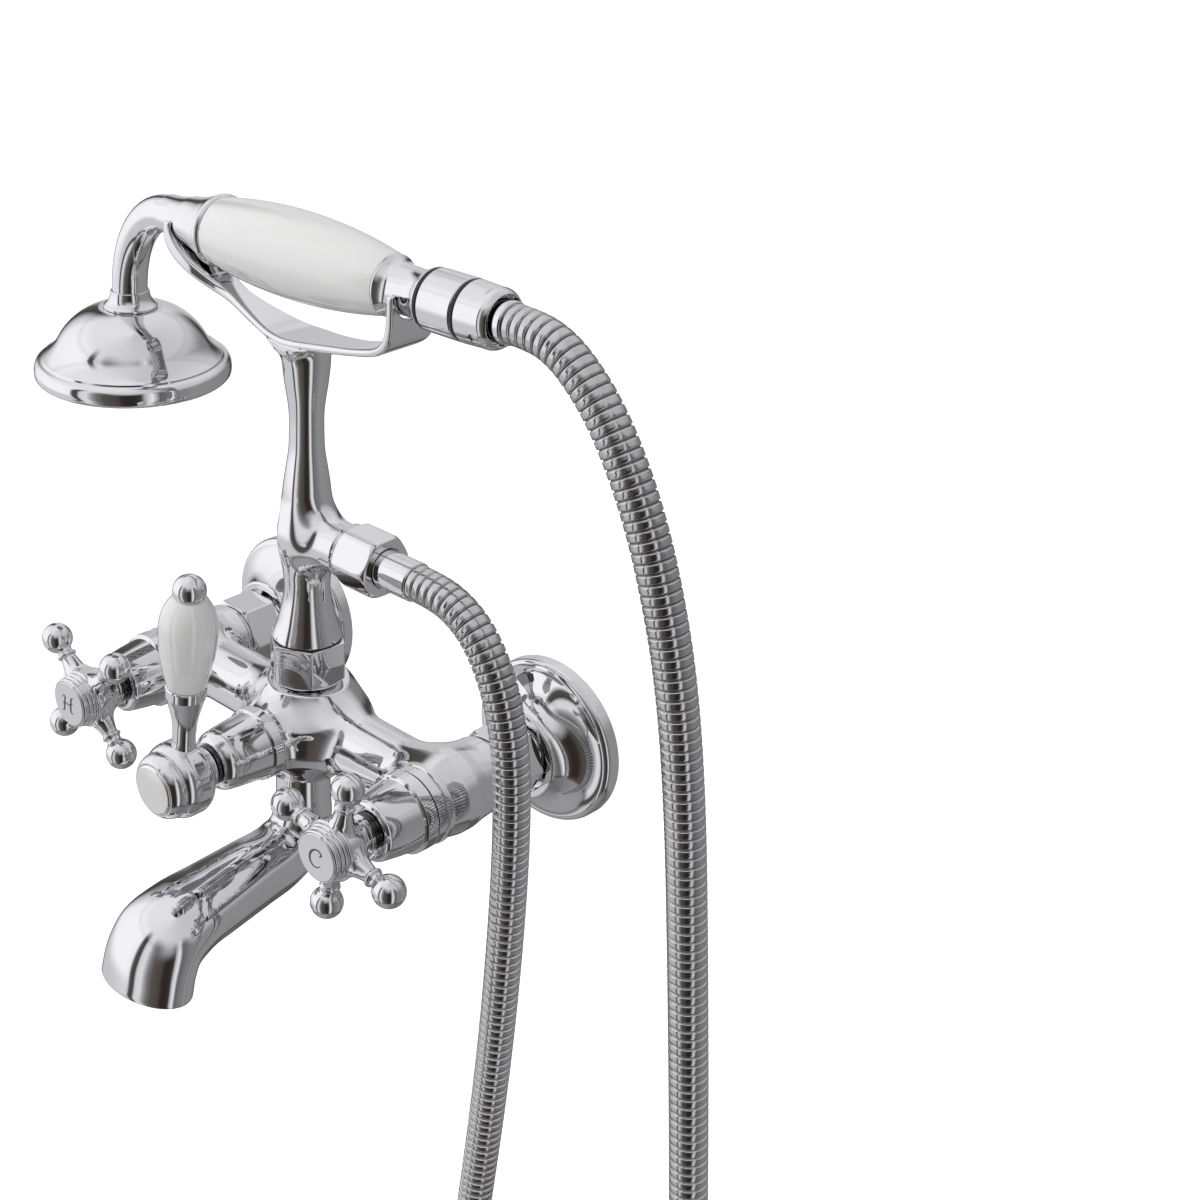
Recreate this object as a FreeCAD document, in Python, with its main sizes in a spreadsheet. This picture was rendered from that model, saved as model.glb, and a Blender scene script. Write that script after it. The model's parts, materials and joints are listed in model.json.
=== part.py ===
import FreeCAD, Part
import math
import os
import Sketcher
from FreeCAD import Placement, Rotation, Vector

# Wall mounted bath mixer with cross handles, a diverter lever, a bath spout, a riser with
# a cradle, and a hand shower on a flexible metal hose.  Millimetres.
#
# Frame: the origin lies on the finished wall, midway between the two water inlets, at their
# height.  +X runs to the right along the wall, +Y goes into the wall, +Z is up, so the
# mixer stands out of the wall towards -Y.  "Reach" below is the distance out from the wall.

doc = FreeCAD.newDocument("bath_mixer")
sheet = doc.addObject("Spreadsheet::Sheet", "dims")
VALUES = {}


def put(alias, value, note=""):
    """One driving dimension: a plain number in a cell with an alias."""
    if alias in VALUES:
        return
    row = len(VALUES) + 1
    sheet.set("A%d" % row, note or alias.replace("_", " "))
    sheet.set("B%d" % row, repr(round(float(value), 6)))
    sheet.setAlias("B%d" % row, alias)
    VALUES[alias] = float(value)


# ---------------------------------------------------------------- driving dimensions
for alias, value, note in [
    ("inlet_half_spacing", 75.0, "half of the 150 mm between the inlets"),
    ("bridge_reach", 62.0, "reach of the bridge tube's axis"),
    ("riser_reach", 63.5, "reach of the riser, hand shower and hose"),
    ("spout_reach", 66.0, "reach of the spout's neck"),
    ("riser_foot", 39.0, "height of the riser's foot"),
    ("outlet_height", 83.5, "height of the hose outlet's axis"),
    ("grip_height", 191.5, "height of the hand shower's axis in its cradle"),
    ("head_offset", 106.1, "shower head's axis, to the left of the riser"),
    ("handset_start", 110.0, "start of the hand shower's turned pieces, to the left of the riser"),
    ("lever_reach", 128.0, "reach of the lever's axis"),
    ("lever_lean", 5.5, "lean of the lever at rest, degrees"),
    ("hot_handle_turn", 2.2, "turn of the hot cross handle at rest, degrees past a diagonal cross"),
    ("cold_handle_turn", -11.5, "turn of the cold cross handle at rest, degrees past an upright cross"),
    ("arm_reach", 116.7, "reach of the cross handles' arms"),
    ("thread_depth", 14.0, "inlet thread that enters the wall"),
    ("union_nut_flats", 28.0, "union nut across flats"),
    ("nipple_flats", 28.0, "riser nipple across flats"),
    ("hose_nut_flats", 22.4, "hose nut across flats"),
    ("bridge_bore", 6.5, "radius of the passage along the bridge"),
    ("cartridge_bore", 10.0, "radius of the cartridge bores in the body"),
    ("inlet_bore", 8.0, "radius of the inlet bores in the body"),
    ("riser_thread", 9.0, "radius of the riser nipple's threads"),
    ("spout_spigot", 9.1, "radius of the spout's spigot"),
    ("tube_radius", 7.2, "radius of the gooseneck tube"),
    ("tube_wall", 1.0, "wall of the gooseneck tube"),
    ("tube_bend_from", 153.0, "height where the gooseneck tube starts to bend"),
    ("handset_tilt", 0.6, "tilt of the hand shower in its cradle, hose end up, degrees"),
    ("handset_drop", 0.47, "how much lower the hand shower's axis starts because of the tilt"),
    ("spout_wall", 2.4, "wall of the spout"),
    ("hose_diameter", 14.0, "outside diameter of the hose"),
    ("hose_bore", 12.0, "bore of the hose's metal strip"),
    ("spray_hole", 0.8, "radius of a spray hole"),
    ("spray_ring_step", 6.5, "distance between the rings of spray holes"),
]:
    put(alias, value, note)


def profile_cells(name, points):
    """Puts a turned profile in the sheet.  A point is (along the axis, radius[, edge radius])."""
    for i, p in enumerate(points):
        put("%s_along_%02d" % (name, i), p[0])
        put("%s_rad_%02d" % (name, i), p[1])
        if len(p) > 2:
            put("%s_arc_%02d" % (name, i), abs(p[2]))


# ---------------------------------------------------------------- building helpers
OUT = Rotation(Vector(1, 0, 0), 90)  # local Z points out of the wall, -Y
RIGHT = Rotation(Vector(0, 1, 0), 90)  # local Z points along +X
UP = Rotation()
DOWN = Rotation(Vector(1, 0, 0), 180)


def place(obj, rotation, x=None, y=None, z=None):
    """A Placement whose base follows the sheet."""
    obj.Placement = Placement(Vector(0, 0, 0), rotation)
    for axis, expression in (("x", x), ("y", y), ("z", z)):
        if expression is not None:
            obj.setExpression("Placement.Base." + axis, expression)
    return obj


def arc_between(p, q, radius):
    """Centre of the short arc from p to q.  Positive radius bulges to the left of p -> q."""
    mx, my = (p[0] + q[0]) / 2, (p[1] + q[1]) / 2
    dx, dy = q[0] - p[0], q[1] - p[1]
    chord = math.hypot(dx, dy)
    r = abs(radius)
    if chord > 2 * r:
        raise ValueError("an edge of radius %.2f can't span %.2f" % (r, chord))
    rise = math.sqrt(r * r - chord * chord / 4)
    side = -1 if radius > 0 else 1
    return mx - side * -dy / chord * -rise, my - side * dx / chord * -rise


def turned(label, name, points, rotation, x=None, y=None, z=None, angle=360.0):
    """A PartDesign body turned from a closed profile about its own Z axis."""
    profile_cells(name, points)
    body = doc.addObject("PartDesign::Body", label)
    body.Label = label
    sketch = body.newObject("Sketcher::SketchObject", label + "_profile")
    plane = [f for f in body.Origin.OriginFeatures if f.Role == "XZ_Plane"][0]
    sketch.AttachmentSupport = [(plane, "")]
    sketch.MapMode = "FlatFace"
    vertices = [(p[1], p[0]) for p in points]
    count = len(vertices)
    geometry, starts, ends = [], [], []
    for i in range(count):
        p, q = vertices[i], vertices[(i + 1) % count]
        bend = points[i][2] if len(points[i]) > 2 else None
        if bend is None:
            geometry.append(Part.LineSegment(Vector(p[0], p[1], 0), Vector(q[0], q[1], 0)))
            starts.append(1)
            ends.append(2)
        else:
            cx, cy = arc_between(p, q, bend)
            a = math.atan2(p[1] - cy, p[0] - cx)
            b = math.atan2(q[1] - cy, q[0] - cx)
            circle = Part.Circle(Vector(cx, cy, 0), Vector(0, 0, 1), abs(bend))
            turn = (b - a) % (2 * math.pi)
            if turn < math.pi:  # runs anticlockwise from p to q
                geometry.append(Part.ArcOfCircle(circle, a, a + turn))
                starts.append(1)
                ends.append(2)
            else:
                geometry.append(Part.ArcOfCircle(circle, b, b + (2 * math.pi - turn)))
                starts.append(2)
                ends.append(1)
    sketch.addGeometry(geometry, False)
    rules = []
    for i in range(count):
        j = (i + 1) % count
        rules.append(Sketcher.Constraint("Coincident", i, ends[i], j, starts[j]))
    bound = []
    for i, (r, a) in enumerate(vertices):
        if r == 0:
            rules.append(Sketcher.Constraint("PointOnObject", i, starts[i], -2))
        else:
            bound.append((len(rules), "dims.%s_rad_%02d" % (name, i)))
            rules.append(Sketcher.Constraint("DistanceX", -1, 1, i, starts[i], r))
        if a == 0:
            rules.append(Sketcher.Constraint("PointOnObject", i, starts[i], -1))
        else:
            bound.append((len(rules), "dims.%s_along_%02d" % (name, i)))
            rules.append(Sketcher.Constraint("DistanceY", -1, 1, i, starts[i], a))
        if len(points[i]) > 2:
            bound.append((len(rules), "dims.%s_arc_%02d" % (name, i)))
            rules.append(Sketcher.Constraint("Radius", i, abs(points[i][2])))
    sketch.addConstraint(rules)
    for index, expression in bound:
        sketch.setExpression("Constraints[%d]" % index, expression)
    solid = body.newObject("PartDesign::Revolution", label + "_turned")
    solid.Profile = sketch
    solid.ReferenceAxis = (sketch, ["V_Axis"])
    solid.Angle = angle
    body.Tip = solid
    place(body, rotation, x, y, z)
    return body


def cylinder(label, radius, height, rotation, x=None, y=None, z=None):
    """A Part cylinder whose sizes and place are expressions."""
    obj = doc.addObject("Part::Cylinder", label)
    obj.setExpression("Radius", radius)
    obj.setExpression("Height", height)
    return place(obj, rotation, x, y, z)


def prism(label, flats, height, rotation, x=None, y=None, z=None):
    obj = doc.addObject("Part::Prism", label)
    obj.Polygon = 6
    obj.setExpression("Circumradius", "%s / sqrt(3)" % flats)
    obj.setExpression("Height", height)
    return place(obj, rotation, x, y, z)


def fuse(label, shapes):
    obj = doc.addObject("Part::MultiFuse", label)
    obj.Shapes = shapes
    return obj


def cut(label, base, tool):
    obj = doc.addObject("Part::Cut", label)
    obj.Base, obj.Tool = base, tool
    return obj


def common(label, base, tool):
    obj = doc.addObject("Part::Common", label)
    obj.Base, obj.Tool = base, tool
    return obj


NODES = []


def node(name, obj):
    obj.Label = name
    NODES.append((name, obj))
    return obj


# ---------------------------------------------------------------- wall flanges and unions
# Thin pressed flange: rim band, rounded lip, trumpet bell and a neck ring.
FLANGE = [
    (0, 34.0), (4.4, 34.0, -3.0), (7.0, 31.4, 19.0), (18.6, 16.9), (18.9, 18.2, -1.2),
    (21.0, 18.2), (21.2, 17.9), (21.2, 15.4), (17.6, 15.4), (17.6, 10.53), (15.8, 10.53), (15.8, 17.4, -20.2), (5.9, 30.4, 2.0), (4.2, 32.8), (0, 32.8),
]
# Inlet union: thread into the wall, plain tube, collar that the nut pulls on.
UNION = [
    (0, 7.5), (0, 9.7), (1.0, 10.48), (14.0, 10.48), (14.6, 10.0), (15.4, 10.0), (16.0, 10.48), (32.2, 10.48), (32.8, 10.0), (41.0, 10.0), (41.0, 12.9), (43.0, 12.9), (43.0, 7.5),
]
UNION_NUT = [
    (22.0, 10.6), (22.0, 14.0), (23.4, 16.4), (37.6, 16.4), (39.0, 14.0), (39.0, 13.3), (27.0, 13.3), (27.0, 10.6),
]
WASHER = [(29.0, 7.7), (29.0, 12.6), (31.0, 12.6), (31.0, 7.7)]
# Valve cartridge: threaded barrel in the body, clamping flange, neck round the spindle.
CARTRIDGE = [
    (56.0, 8.6), (56.0, 9.95), (79.5, 9.95), (79.5, 12.0), (82.5, 12.0), (82.5, 9.0), (92.0, 9.0),
    (92.0, 6.3), (104.4, 6.3), (104.4, 4.0), (63.0, 4.0), (63.0, 8.6),
]
# Bonnet: collar ring, slightly tapered cover, rounded front edge.
BONNET = [
    (79.7, 12.6), (79.7, 15.3), (80.3, 15.9), (85.3, 15.9), (85.9, 15.2), (86.3, 14.5), (94.0, 13.6), (100.6, 12.6, -2.4),
    (102.5, 10.6), (102.5, 6.6), (101.2, 6.6), (101.2, 10.8), (94.0, 12.2), (86.3, 12.6),
]
STEM_SEAL = [(102.6, 6.4), (102.6, 7.6, -0.9), (104.3, 7.6), (104.3, 6.4)]
SPINDLE = [(62.45, 0), (62.45, 3.95), (119.5, 3.95), (119.5, 2.1), (107.0, 2.1), (107.0, 0)]
FIXED_DISC = [(56.2, 0), (56.2, 8.55), (59.3, 8.55), (59.3, 0)]
DISC = [(59.35, 0), (59.35, 8.5), (62.4, 8.5), (62.4, 0)]
# Cross handle hub: skirt, swelling to the arms, three stepped rings, bezel for the index.
HUB = [
    (105.0, 4.0), (105.0, 8.3), (106.6, 8.7, 9.0), (112.5, 11.0), (116.7, 11.7), (119.6, 11.9, -0.9), (121.2, 11.2),
    (121.4, 11.2, -0.9), (122.9, 10.7), (123.1, 10.6, -0.8), (124.5, 10.2), (124.7, 10.1, -1.3), (126.8, 9.9),
    (126.8, 9.6), (124.6, 9.6), (124.6, 4.2), (121.2, 4.2), (121.2, 2.2), (119.6, 2.2), (119.6, 4.0),
]
# One arm of a cross handle, along its own axis from the hub's axis: taper, collar, ball.
ARM = [
    (6.0, 0), (6.0, 6.6), (9.5, 5.9, 14.0), (17.6, 3.2), (18.4, 3.2, -0.9), (18.7, 4.1, -0.8), (20.1, 4.1), (20.6, 3.3),
    (22.25, 3.344, -6.36), (27.66, 6.36, -6.36), (34.02, 0),
]
INDEX = [(124.7, 0), (124.7, 9.5), (126.8, 9.5, -0.5), (127.1, 9.2, -84.89), (127.6, 0)]
SCREW = [(109.0, 0), (109.0, 2.05), (121.2, 2.05), (121.2, 3.8), (124.0, 3.8), (124.4, 3.4), (124.4, 1.5), (123.0, 1.5), (123.0, 0)]

SIDES = (
    ("hot", "-dims.inlet_half_spacing", 45.0, "dims.hot_handle_turn"),
    ("cold", "dims.inlet_half_spacing", 90.0, "dims.cold_handle_turn"),
)


def ported(label, cells, points, ports, x, start):
    """A ceramic disc with two round ports through it."""
    plain = turned(label + "_blank", cells, points, OUT, x=x)
    tools = [cylinder("%s_port_%d" % (label, k), "2.2", "4", OUT, x="%s + %s" % (x, dx), y="-%s + 0.5" % start) for k, dx in enumerate(ports)]
    return cut(label, plain, fuse(label + "_ports", tools))


washers, seals, fixed = [], [], []
for side, x, upright, turn in SIDES:
    node(side + "_wall_flange", turned(side + "_wall_flange", "flange", FLANGE, OUT, x=x))
    node(side + "_inlet_union", turned(side + "_inlet_union", "union", UNION, OUT, x=x, y="dims.thread_depth"))
    blank = turned(side + "_union_nut_turning", "union_nut", UNION_NUT, OUT, x=x)
    hexagon = prism(side + "_union_hexagon", "dims.union_nut_flats", "dims.union_nut_along_04 - dims.union_nut_along_00",
                    OUT, x=x, y="-dims.union_nut_along_00")
    node(side + "_union_nut", common(side + "_union_nut", blank, hexagon))
    washers.append(turned(side + "_washer", "washer", WASHER, OUT, x=x))
    node(side + "_cartridge", turned(side + "_cartridge", "cartridge", CARTRIDGE, OUT, x=x))
    node(side + "_bonnet", turned(side + "_bonnet", "bonnet", BONNET, OUT, x=x))
    seals.append(turned(side + "_stem_seal", "stem_seal", STEM_SEAL, OUT, x=x))
    fixed.append(ported(side + "_fixed_disc", "fixed_disc", FIXED_DISC, ("4.6", "-4.6"), x, "dims.fixed_disc_along_00"))
    node(side + "_spindle", turned(side + "_spindle", "spindle", SPINDLE, OUT, x=x))
    node(side + "_ceramic_disc", ported(side + "_ceramic_disc", "disc", DISC, ("4.6", "-4.6"), x, "dims.disc_along_00"))
    hub = turned(side + "_hub", "hub", HUB, OUT, x=x)
    arms = []
    for k in range(4):
        arm = turned("%s_arm_%d" % (side, k), "arm", ARM, UP, x=x, y="-dims.arm_reach")
        lie = Rotation(Vector(0, -1, 0), upright + VALUES[turn[5:]] - 90 + 90 * k)
        arm.Placement = Placement(arm.Placement.Base, lie)
        arms.append(arm)
    node(side + "_cross_handle", fuse(side + "_cross_handle", [hub] + arms))
    node(side + "_index_button", turned(side + "_index_button", "index", INDEX, OUT, x=x))
    node(side + "_handle_screw", turned(side + "_handle_screw", "screw", SCREW, OUT, x=x))
pair = doc.addObject("Part::Compound", "union_washers")
pair.Links = washers
node("union_washers", pair)

# ---------------------------------------------------------------- mixer body
# Cast bridge: a tube between two valve chambers, with a barrel in the middle that carries
# the riser above, the diverter in front and the spout below.
BRIDGE = [
    (0, 0), (0, 13.2), (48.0, 13.2, 22.0), (61.0, 16.6), (67.0, 17.6, -60.0), (83.0, 17.6), (89.0, 16.6, 22.0), (102.0, 13.2),
    (150.0, 13.2), (150.0, 0),
]
CHAMBER = [
    (31.0, 0), (31.0, 12.6), (31.6, 13.2), (41.0, 13.2), (41.0, 14.6), (41.8, 15.2), (48.0, 15.5, 40.0), (57.0, 16.7, -16.0), (65.0, 16.7, 40.0),
    (71.5, 15.8), (72.8, 15.8), (73.2, 16.2), (74.4, 16.2), (74.8, 15.3), (75.8, 15.3), (76.2, 15.8), (79.5, 15.8), (79.5, 0),
]
BOSS = [(52.0, 0), (52.0, 15.8), (66.0, 15.8, 60.0), (80.0, 13.9), (88.0, 13.9), (88.0, 0)]
SEAT = [(0, 0), (0, 18.0), (6.0, 18.0, 12.0), (15.0, 15.0), (19.6, 14.6), (19.6, 0)]
SOCKET = [(0, 0), (0, 16.0), (8.0, 16.0, 12.0), (17.0, 13.0), (21.0, 12.6), (21.0, 0)]
outer = [
    turned("bridge", "bridge", BRIDGE, RIGHT, x="-dims.inlet_half_spacing", y="-dims.bridge_reach"),
    turned("hot_chamber", "chamber", CHAMBER, OUT, x="-dims.inlet_half_spacing"),
    turned("cold_chamber", "chamber", CHAMBER, OUT, x="dims.inlet_half_spacing"),
    turned("diverter_boss", "boss", BOSS, OUT),
    turned("riser_seat", "seat", SEAT, UP, y="-dims.riser_reach"),
    turned("spout_socket", "socket", SOCKET, DOWN, y="-dims.spout_reach"),
]
bores = [
    cylinder("bridge_passage", "dims.bridge_bore", "2 * dims.inlet_half_spacing", RIGHT, x="-dims.inlet_half_spacing", y="-dims.bridge_reach"),
    cylinder("hot_inlet_way", "dims.inlet_bore", "26", OUT, x="-dims.inlet_half_spacing", y="-30"),
    cylinder("cold_inlet_way", "dims.inlet_bore", "26", OUT, x="dims.inlet_half_spacing", y="-30"),
    cylinder("hot_valve_bore", "dims.cartridge_bore", "26", OUT, x="-dims.inlet_half_spacing", y="-54.5"),
    cylinder("cold_valve_bore", "dims.cartridge_bore", "26", OUT, x="dims.inlet_half_spacing", y="-54.5"),
    cylinder("diverter_bore", "dims.cartridge_bore", "26", OUT, y="-63"),
    cylinder("riser_way", "6", "20", UP, y="-dims.riser_reach"),
    cylinder("riser_thread_bore", "dims.riser_thread + 0.05", "20", UP, y="-dims.riser_reach", z="9"),
    cylinder("spout_way", "6", "24", DOWN, y="-dims.spout_reach"),
    cylinder("spout_thread_bore", "dims.spout_spigot + 0.05", "20", DOWN, y="-dims.spout_reach", z="-12"),
]
node("mixer_body", cut("mixer_body", fuse("body_outside", outer), fuse("body_passages", bores)))

# ---------------------------------------------------------------- diverter and lever
DIV_CARTRIDGE = [
    (68.0, 8.6), (68.0, 9.95), (88.0, 9.95), (88.0, 11.6), (91.0, 11.6), (91.0, 9.0), (103.0, 9.0),
    (103.0, 6.3), (116.4, 6.3), (116.4, 4.0), (75.0, 4.0), (75.0, 8.6),
]
DIV_BONNET = [
    (88.2, 12.0), (88.2, 14.2), (88.8, 14.8), (92.8, 14.8), (93.4, 14.3), (93.8, 13.8), (104.0, 12.9, -60.0), (108.6, 12.3, -6.6),
    (114.5, 9.0), (114.5, 6.6), (113.2, 6.6), (113.2, 8.8), (107.0, 11.4), (92.8, 12.0),
]
DIV_SEAL = [(114.6, 6.4), (114.6, 8.2, -0.9), (116.3, 8.2), (116.3, 6.4)]
DIV_SPINDLE = [(74.5, 0), (74.5, 3.95), (134.5, 3.95), (134.5, 2.1), (124.0, 2.1), (124.0, 0)]
DIV_FIXED_DISC = [(68.2, 0), (68.2, 8.55), (71.3, 8.55), (71.3, 0)]
DIV_DISC = [(71.4, 0), (71.4, 8.5), (74.45, 8.5), (74.45, 0)]
LEVER_HUB = [
    (116.8, 4.0), (116.8, 8.0, -0.9), (118.2, 8.0, -0.9), (119.6, 8.2), (120.2, 9.0), (121.0, 11.0, -7.5), (126.4, 15.3), (130.4, 15.3, -8.0),
    (136.0, 13.4), (136.1, 12.8), (136.7, 12.8), (136.8, 13.4, -7.5), (142.2, 10.9), (142.2, 10.3), (139.6, 10.3), (139.6, 4.2),
    (136.1, 4.2), (136.1, 2.2), (134.6, 2.2), (134.6, 4.0),
]
LEVER_SCREW = [(125.0, 0), (125.0, 2.05), (136.1, 2.05), (136.1, 3.8), (139.0, 3.8), (139.4, 3.4), (139.4, 1.5), (138.0, 1.5), (138.0, 0)]
LEVER_BUTTON = [(139.7, 0), (139.7, 10.2), (142.2, 10.2, -1.2), (143.1, 9.2, -42.82), (144.1, 0)]
# Pieces of the lever along its own axis, from the hub's axis outwards.
LEVER_NECK = [
    (8.0, 0), (8.0, 2.4), (13.25, 2.4), (13.25, 5.0), (15.0, 4.7, 40.0), (21.0, 4.6, 40.0), (33.0, 6.5, 30.0), (38.0, 7.9), (41.6, 8.0), (42.2, 7.6), (42.2, 3.2), (59.0, 3.2), (59.0, 0),
]
LEVER_GRIP = [
    (42.3, 3.3), (42.3, 7.3, -0.5), (42.8, 7.6, -86.6), (67.5, 11.2, -19.7), (80.6, 6.2), (80.9, 5.6), (80.9, 2.6), (60.0, 2.6), (60.0, 3.3),
]
LEVER_CAP = [
    (67.0, 0), (67.0, 2.5), (81.0, 2.5), (81.0, 5.9), (81.3, 6.1, -6.4), (83.15, 6.4, -6.4), (89.55, 0),
]
node("diverter_cartridge", turned("diverter_cartridge", "div_cartridge", DIV_CARTRIDGE, OUT))
node("diverter_bonnet", turned("diverter_bonnet", "div_bonnet", DIV_BONNET, OUT))
seals.append(turned("diverter_stem_seal", "div_seal", DIV_SEAL, OUT))
fixed.append(ported("diverter_fixed_disc", "div_fixed_disc", DIV_FIXED_DISC, ("4.6", "-4.6"), "0", "dims.div_fixed_disc_along_00"))
for name, items in (("stem_seals", seals), ("fixed_ceramic_discs", fixed)):
    group = doc.addObject("Part::Compound", name)
    group.Links = items
    node(name, group)
node("diverter_spindle", turned("diverter_spindle", "div_spindle", DIV_SPINDLE, OUT))
node("diverter_ceramic_disc", ported("diverter_ceramic_disc", "div_disc", DIV_DISC, ("4.6", "-4.6"), "0", "dims.div_disc_along_00"))
LEAN = Rotation(Vector(0, 1, 0), VALUES["lever_lean"])
seat_cut = [
    cylinder("lever_tap", "2.45", "12", LEAN, y="-dims.lever_reach"),
    cylinder("lever_spot_face", "5.05", "12", LEAN, y="-dims.lever_reach"),
]
for tool, start in zip(seat_cut, (7.9, 13.2)):
    tool.Placement = Placement(LEAN.multVec(Vector(0, 0, start)) + Vector(0, -VALUES["lever_reach"], 0), LEAN)
    tool.setExpression("Placement.Base.y", "-dims.lever_reach")
hub_blank = turned("lever_hub_blank", "lever_hub", LEVER_HUB, OUT)
node("lever_hub", cut("lever_hub", hub_blank, fuse("lever_seat_cut", seat_cut)))
for name, cells, points in (
    ("lever_neck", "lever_neck", LEVER_NECK),
    ("lever_grip", "lever_grip", LEVER_GRIP),
    ("lever_cap", "lever_cap", LEVER_CAP),
):
    node(name, turned(name, cells, points, LEAN, y="-dims.lever_reach"))
node("lever_screw", turned("lever_screw", "lever_screw", LEVER_SCREW, OUT))
node("lever_button", turned("lever_button", "lever_button", LEVER_BUTTON, OUT))

# ---------------------------------------------------------------- riser
NIPPLE = [
    (0, 6.0), (0, 8.5), (0.6, 9.0), (9.3, 9.0), (9.3, 12.6, -3.4), (12.3, 16.4), (27.9, 16.4), (27.9, 9.0), (38.7, 9.0), (38.7, 6.0),
]
blank = turned("nipple_turning", "nipple", NIPPLE, UP, y="-dims.riser_reach", z="10.5")
# tightened until one corner stands 24 degrees off the wall's direction
hexagon = prism("nipple_hexagon", "dims.nipple_flats", "60", Rotation(Vector(0, 0, 1), 24), y="-dims.riser_reach")
node("riser_nipple", common("riser_nipple", blank, hexagon))
GASKET = [(38.4, 9.1), (38.4, 13.9), (38.95, 13.9), (38.95, 9.1)]
node("riser_gasket", turned("riser_gasket", "gasket", GASKET, UP, y="-dims.riser_reach"))
COLUMN = [
    (39.0, 9.1), (39.0, 14.3), (40.0, 14.3, 20.0), (50.0, 10.9, 30.0), (67.0, 9.6, 30.0), (77.0, 10.6, -20.0), (90.0, 10.6, 60.0),
    (101.0, 9.5, 0.0), (112.0, 7.9, 40.0), (124.0, 6.8, 60.0), (143.0, 8.2, 60.0), (154.0, 9.9, 60.0), (159.6, 10.6), (159.6, 4.05), (149.4, 4.05), (149.4, 0), (96.0, 0), (96.0, 5.0), (50.0, 5.0), (50.0, 9.1),
]
COLUMN = [p if not (len(p) > 2 and p[2] == 0.0) else p[:2] for p in COLUMN]
BRANCH = [(0, 0), (0, 9.9), (24.4, 9.9), (25.6, 10.4), (25.9, 10.4), (25.9, 9.4), (38.0, 9.4), (38.0, 0)]
column = fuse("column_outside", [
    turned("column", "column", COLUMN, UP, y="-dims.riser_reach"),
    turned("branch", "branch", BRANCH, RIGHT, y="-dims.riser_reach", z="dims.outlet_height"),
])
ways = fuse("column_ways", [
    cylinder("branch_way", "5", "40", RIGHT, y="-dims.riser_reach", z="dims.outlet_height"),
    cylinder("column_way", "5", "52", UP, y="-dims.riser_reach", z="44"),
])
node("riser_column", cut("riser_column", column, ways))

# Cradle: one casting on a threaded spigot in the top of the riser.  A strip runs out to
# both sides; its left end is a saddle under the hand shower's collar and its right end
# turns up into a forked plate round the neck of the end cap.
# The casting's outline in X and Z, below and above, and its half width along X.
CRADLE_LOW = [
    (-69.4, 192.8), (-70.6, 187.6), (-69.3, 183.2), (-64.6, 178.0), (-57.7, 173.8), (-50.0, 170.2), (-38.0, 166.2), (-28.0, 163.6),
    (-18.0, 161.4), (-9.0, 160.1), (0.0, 159.9), (10.0, 160.8), (23.0, 162.6), (35.0, 165.3), (43.5, 167.9), (49.5, 170.7),
    (53.6, 174.4), (55.4, 179.4), (55.7, 186.0), (55.7, 193.4),
]
CRADLE_HIGH = [
    (52.5, 193.4), (52.4, 185.0), (51.6, 178.6), (49.2, 174.6), (44.8, 171.9), (40.0, 170.0), (35.0, 168.4), (30.0, 167.1),
    (25.0, 166.1), (10.0, 164.0), (0.0, 163.1), (-7.0, 162.9), (-15.0, 163.8), (-25.0, 166.2), (-35.0, 169.2), (-43.0, 172.4),
    (-53.3, 177.8), (-59.3, 181.5), (-64.0, 185.9), (-66.0, 189.6), (-66.4, 192.8),
]
CRADLE_WIDE = [
    (-72.0, 10.6), (-66.0, 10.2), (-58.0, 9.0), (-50.0, 6.8), (-43.0, 5.0), (-37.0, 4.8), (-30.0, 5.9), (-22.0, 7.4), (-12.0, 9.2),
    (-4.0, 10.0), (3.0, 9.6), (10.0, 8.3), (18.0, 7.3), (27.0, 6.8), (35.0, 7.4), (43.0, 9.2), (49.0, 10.9), (57.0, 11.6),
]
for key, points in (("cradle_low", CRADLE_LOW), ("cradle_high", CRADLE_HIGH), ("cradle_wide", CRADLE_WIDE)):
    for i, (a, b) in enumerate(points):
        put("%s_%02d_a" % (key, i), a)
        put("%s_%02d_b" % (key, i), b)
put("cradle_spigot", 4.0)
put("cradle_play", 0.3)


def smooth(points):
    curve = Part.BSplineCurve()
    curve.interpolate(points)
    return curve.toShape()


def cells(key, count):
    return [(VALUES["%s_%02d_a" % (key, i)], VALUES["%s_%02d_b" % (key, i)]) for i in range(count)]


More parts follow.
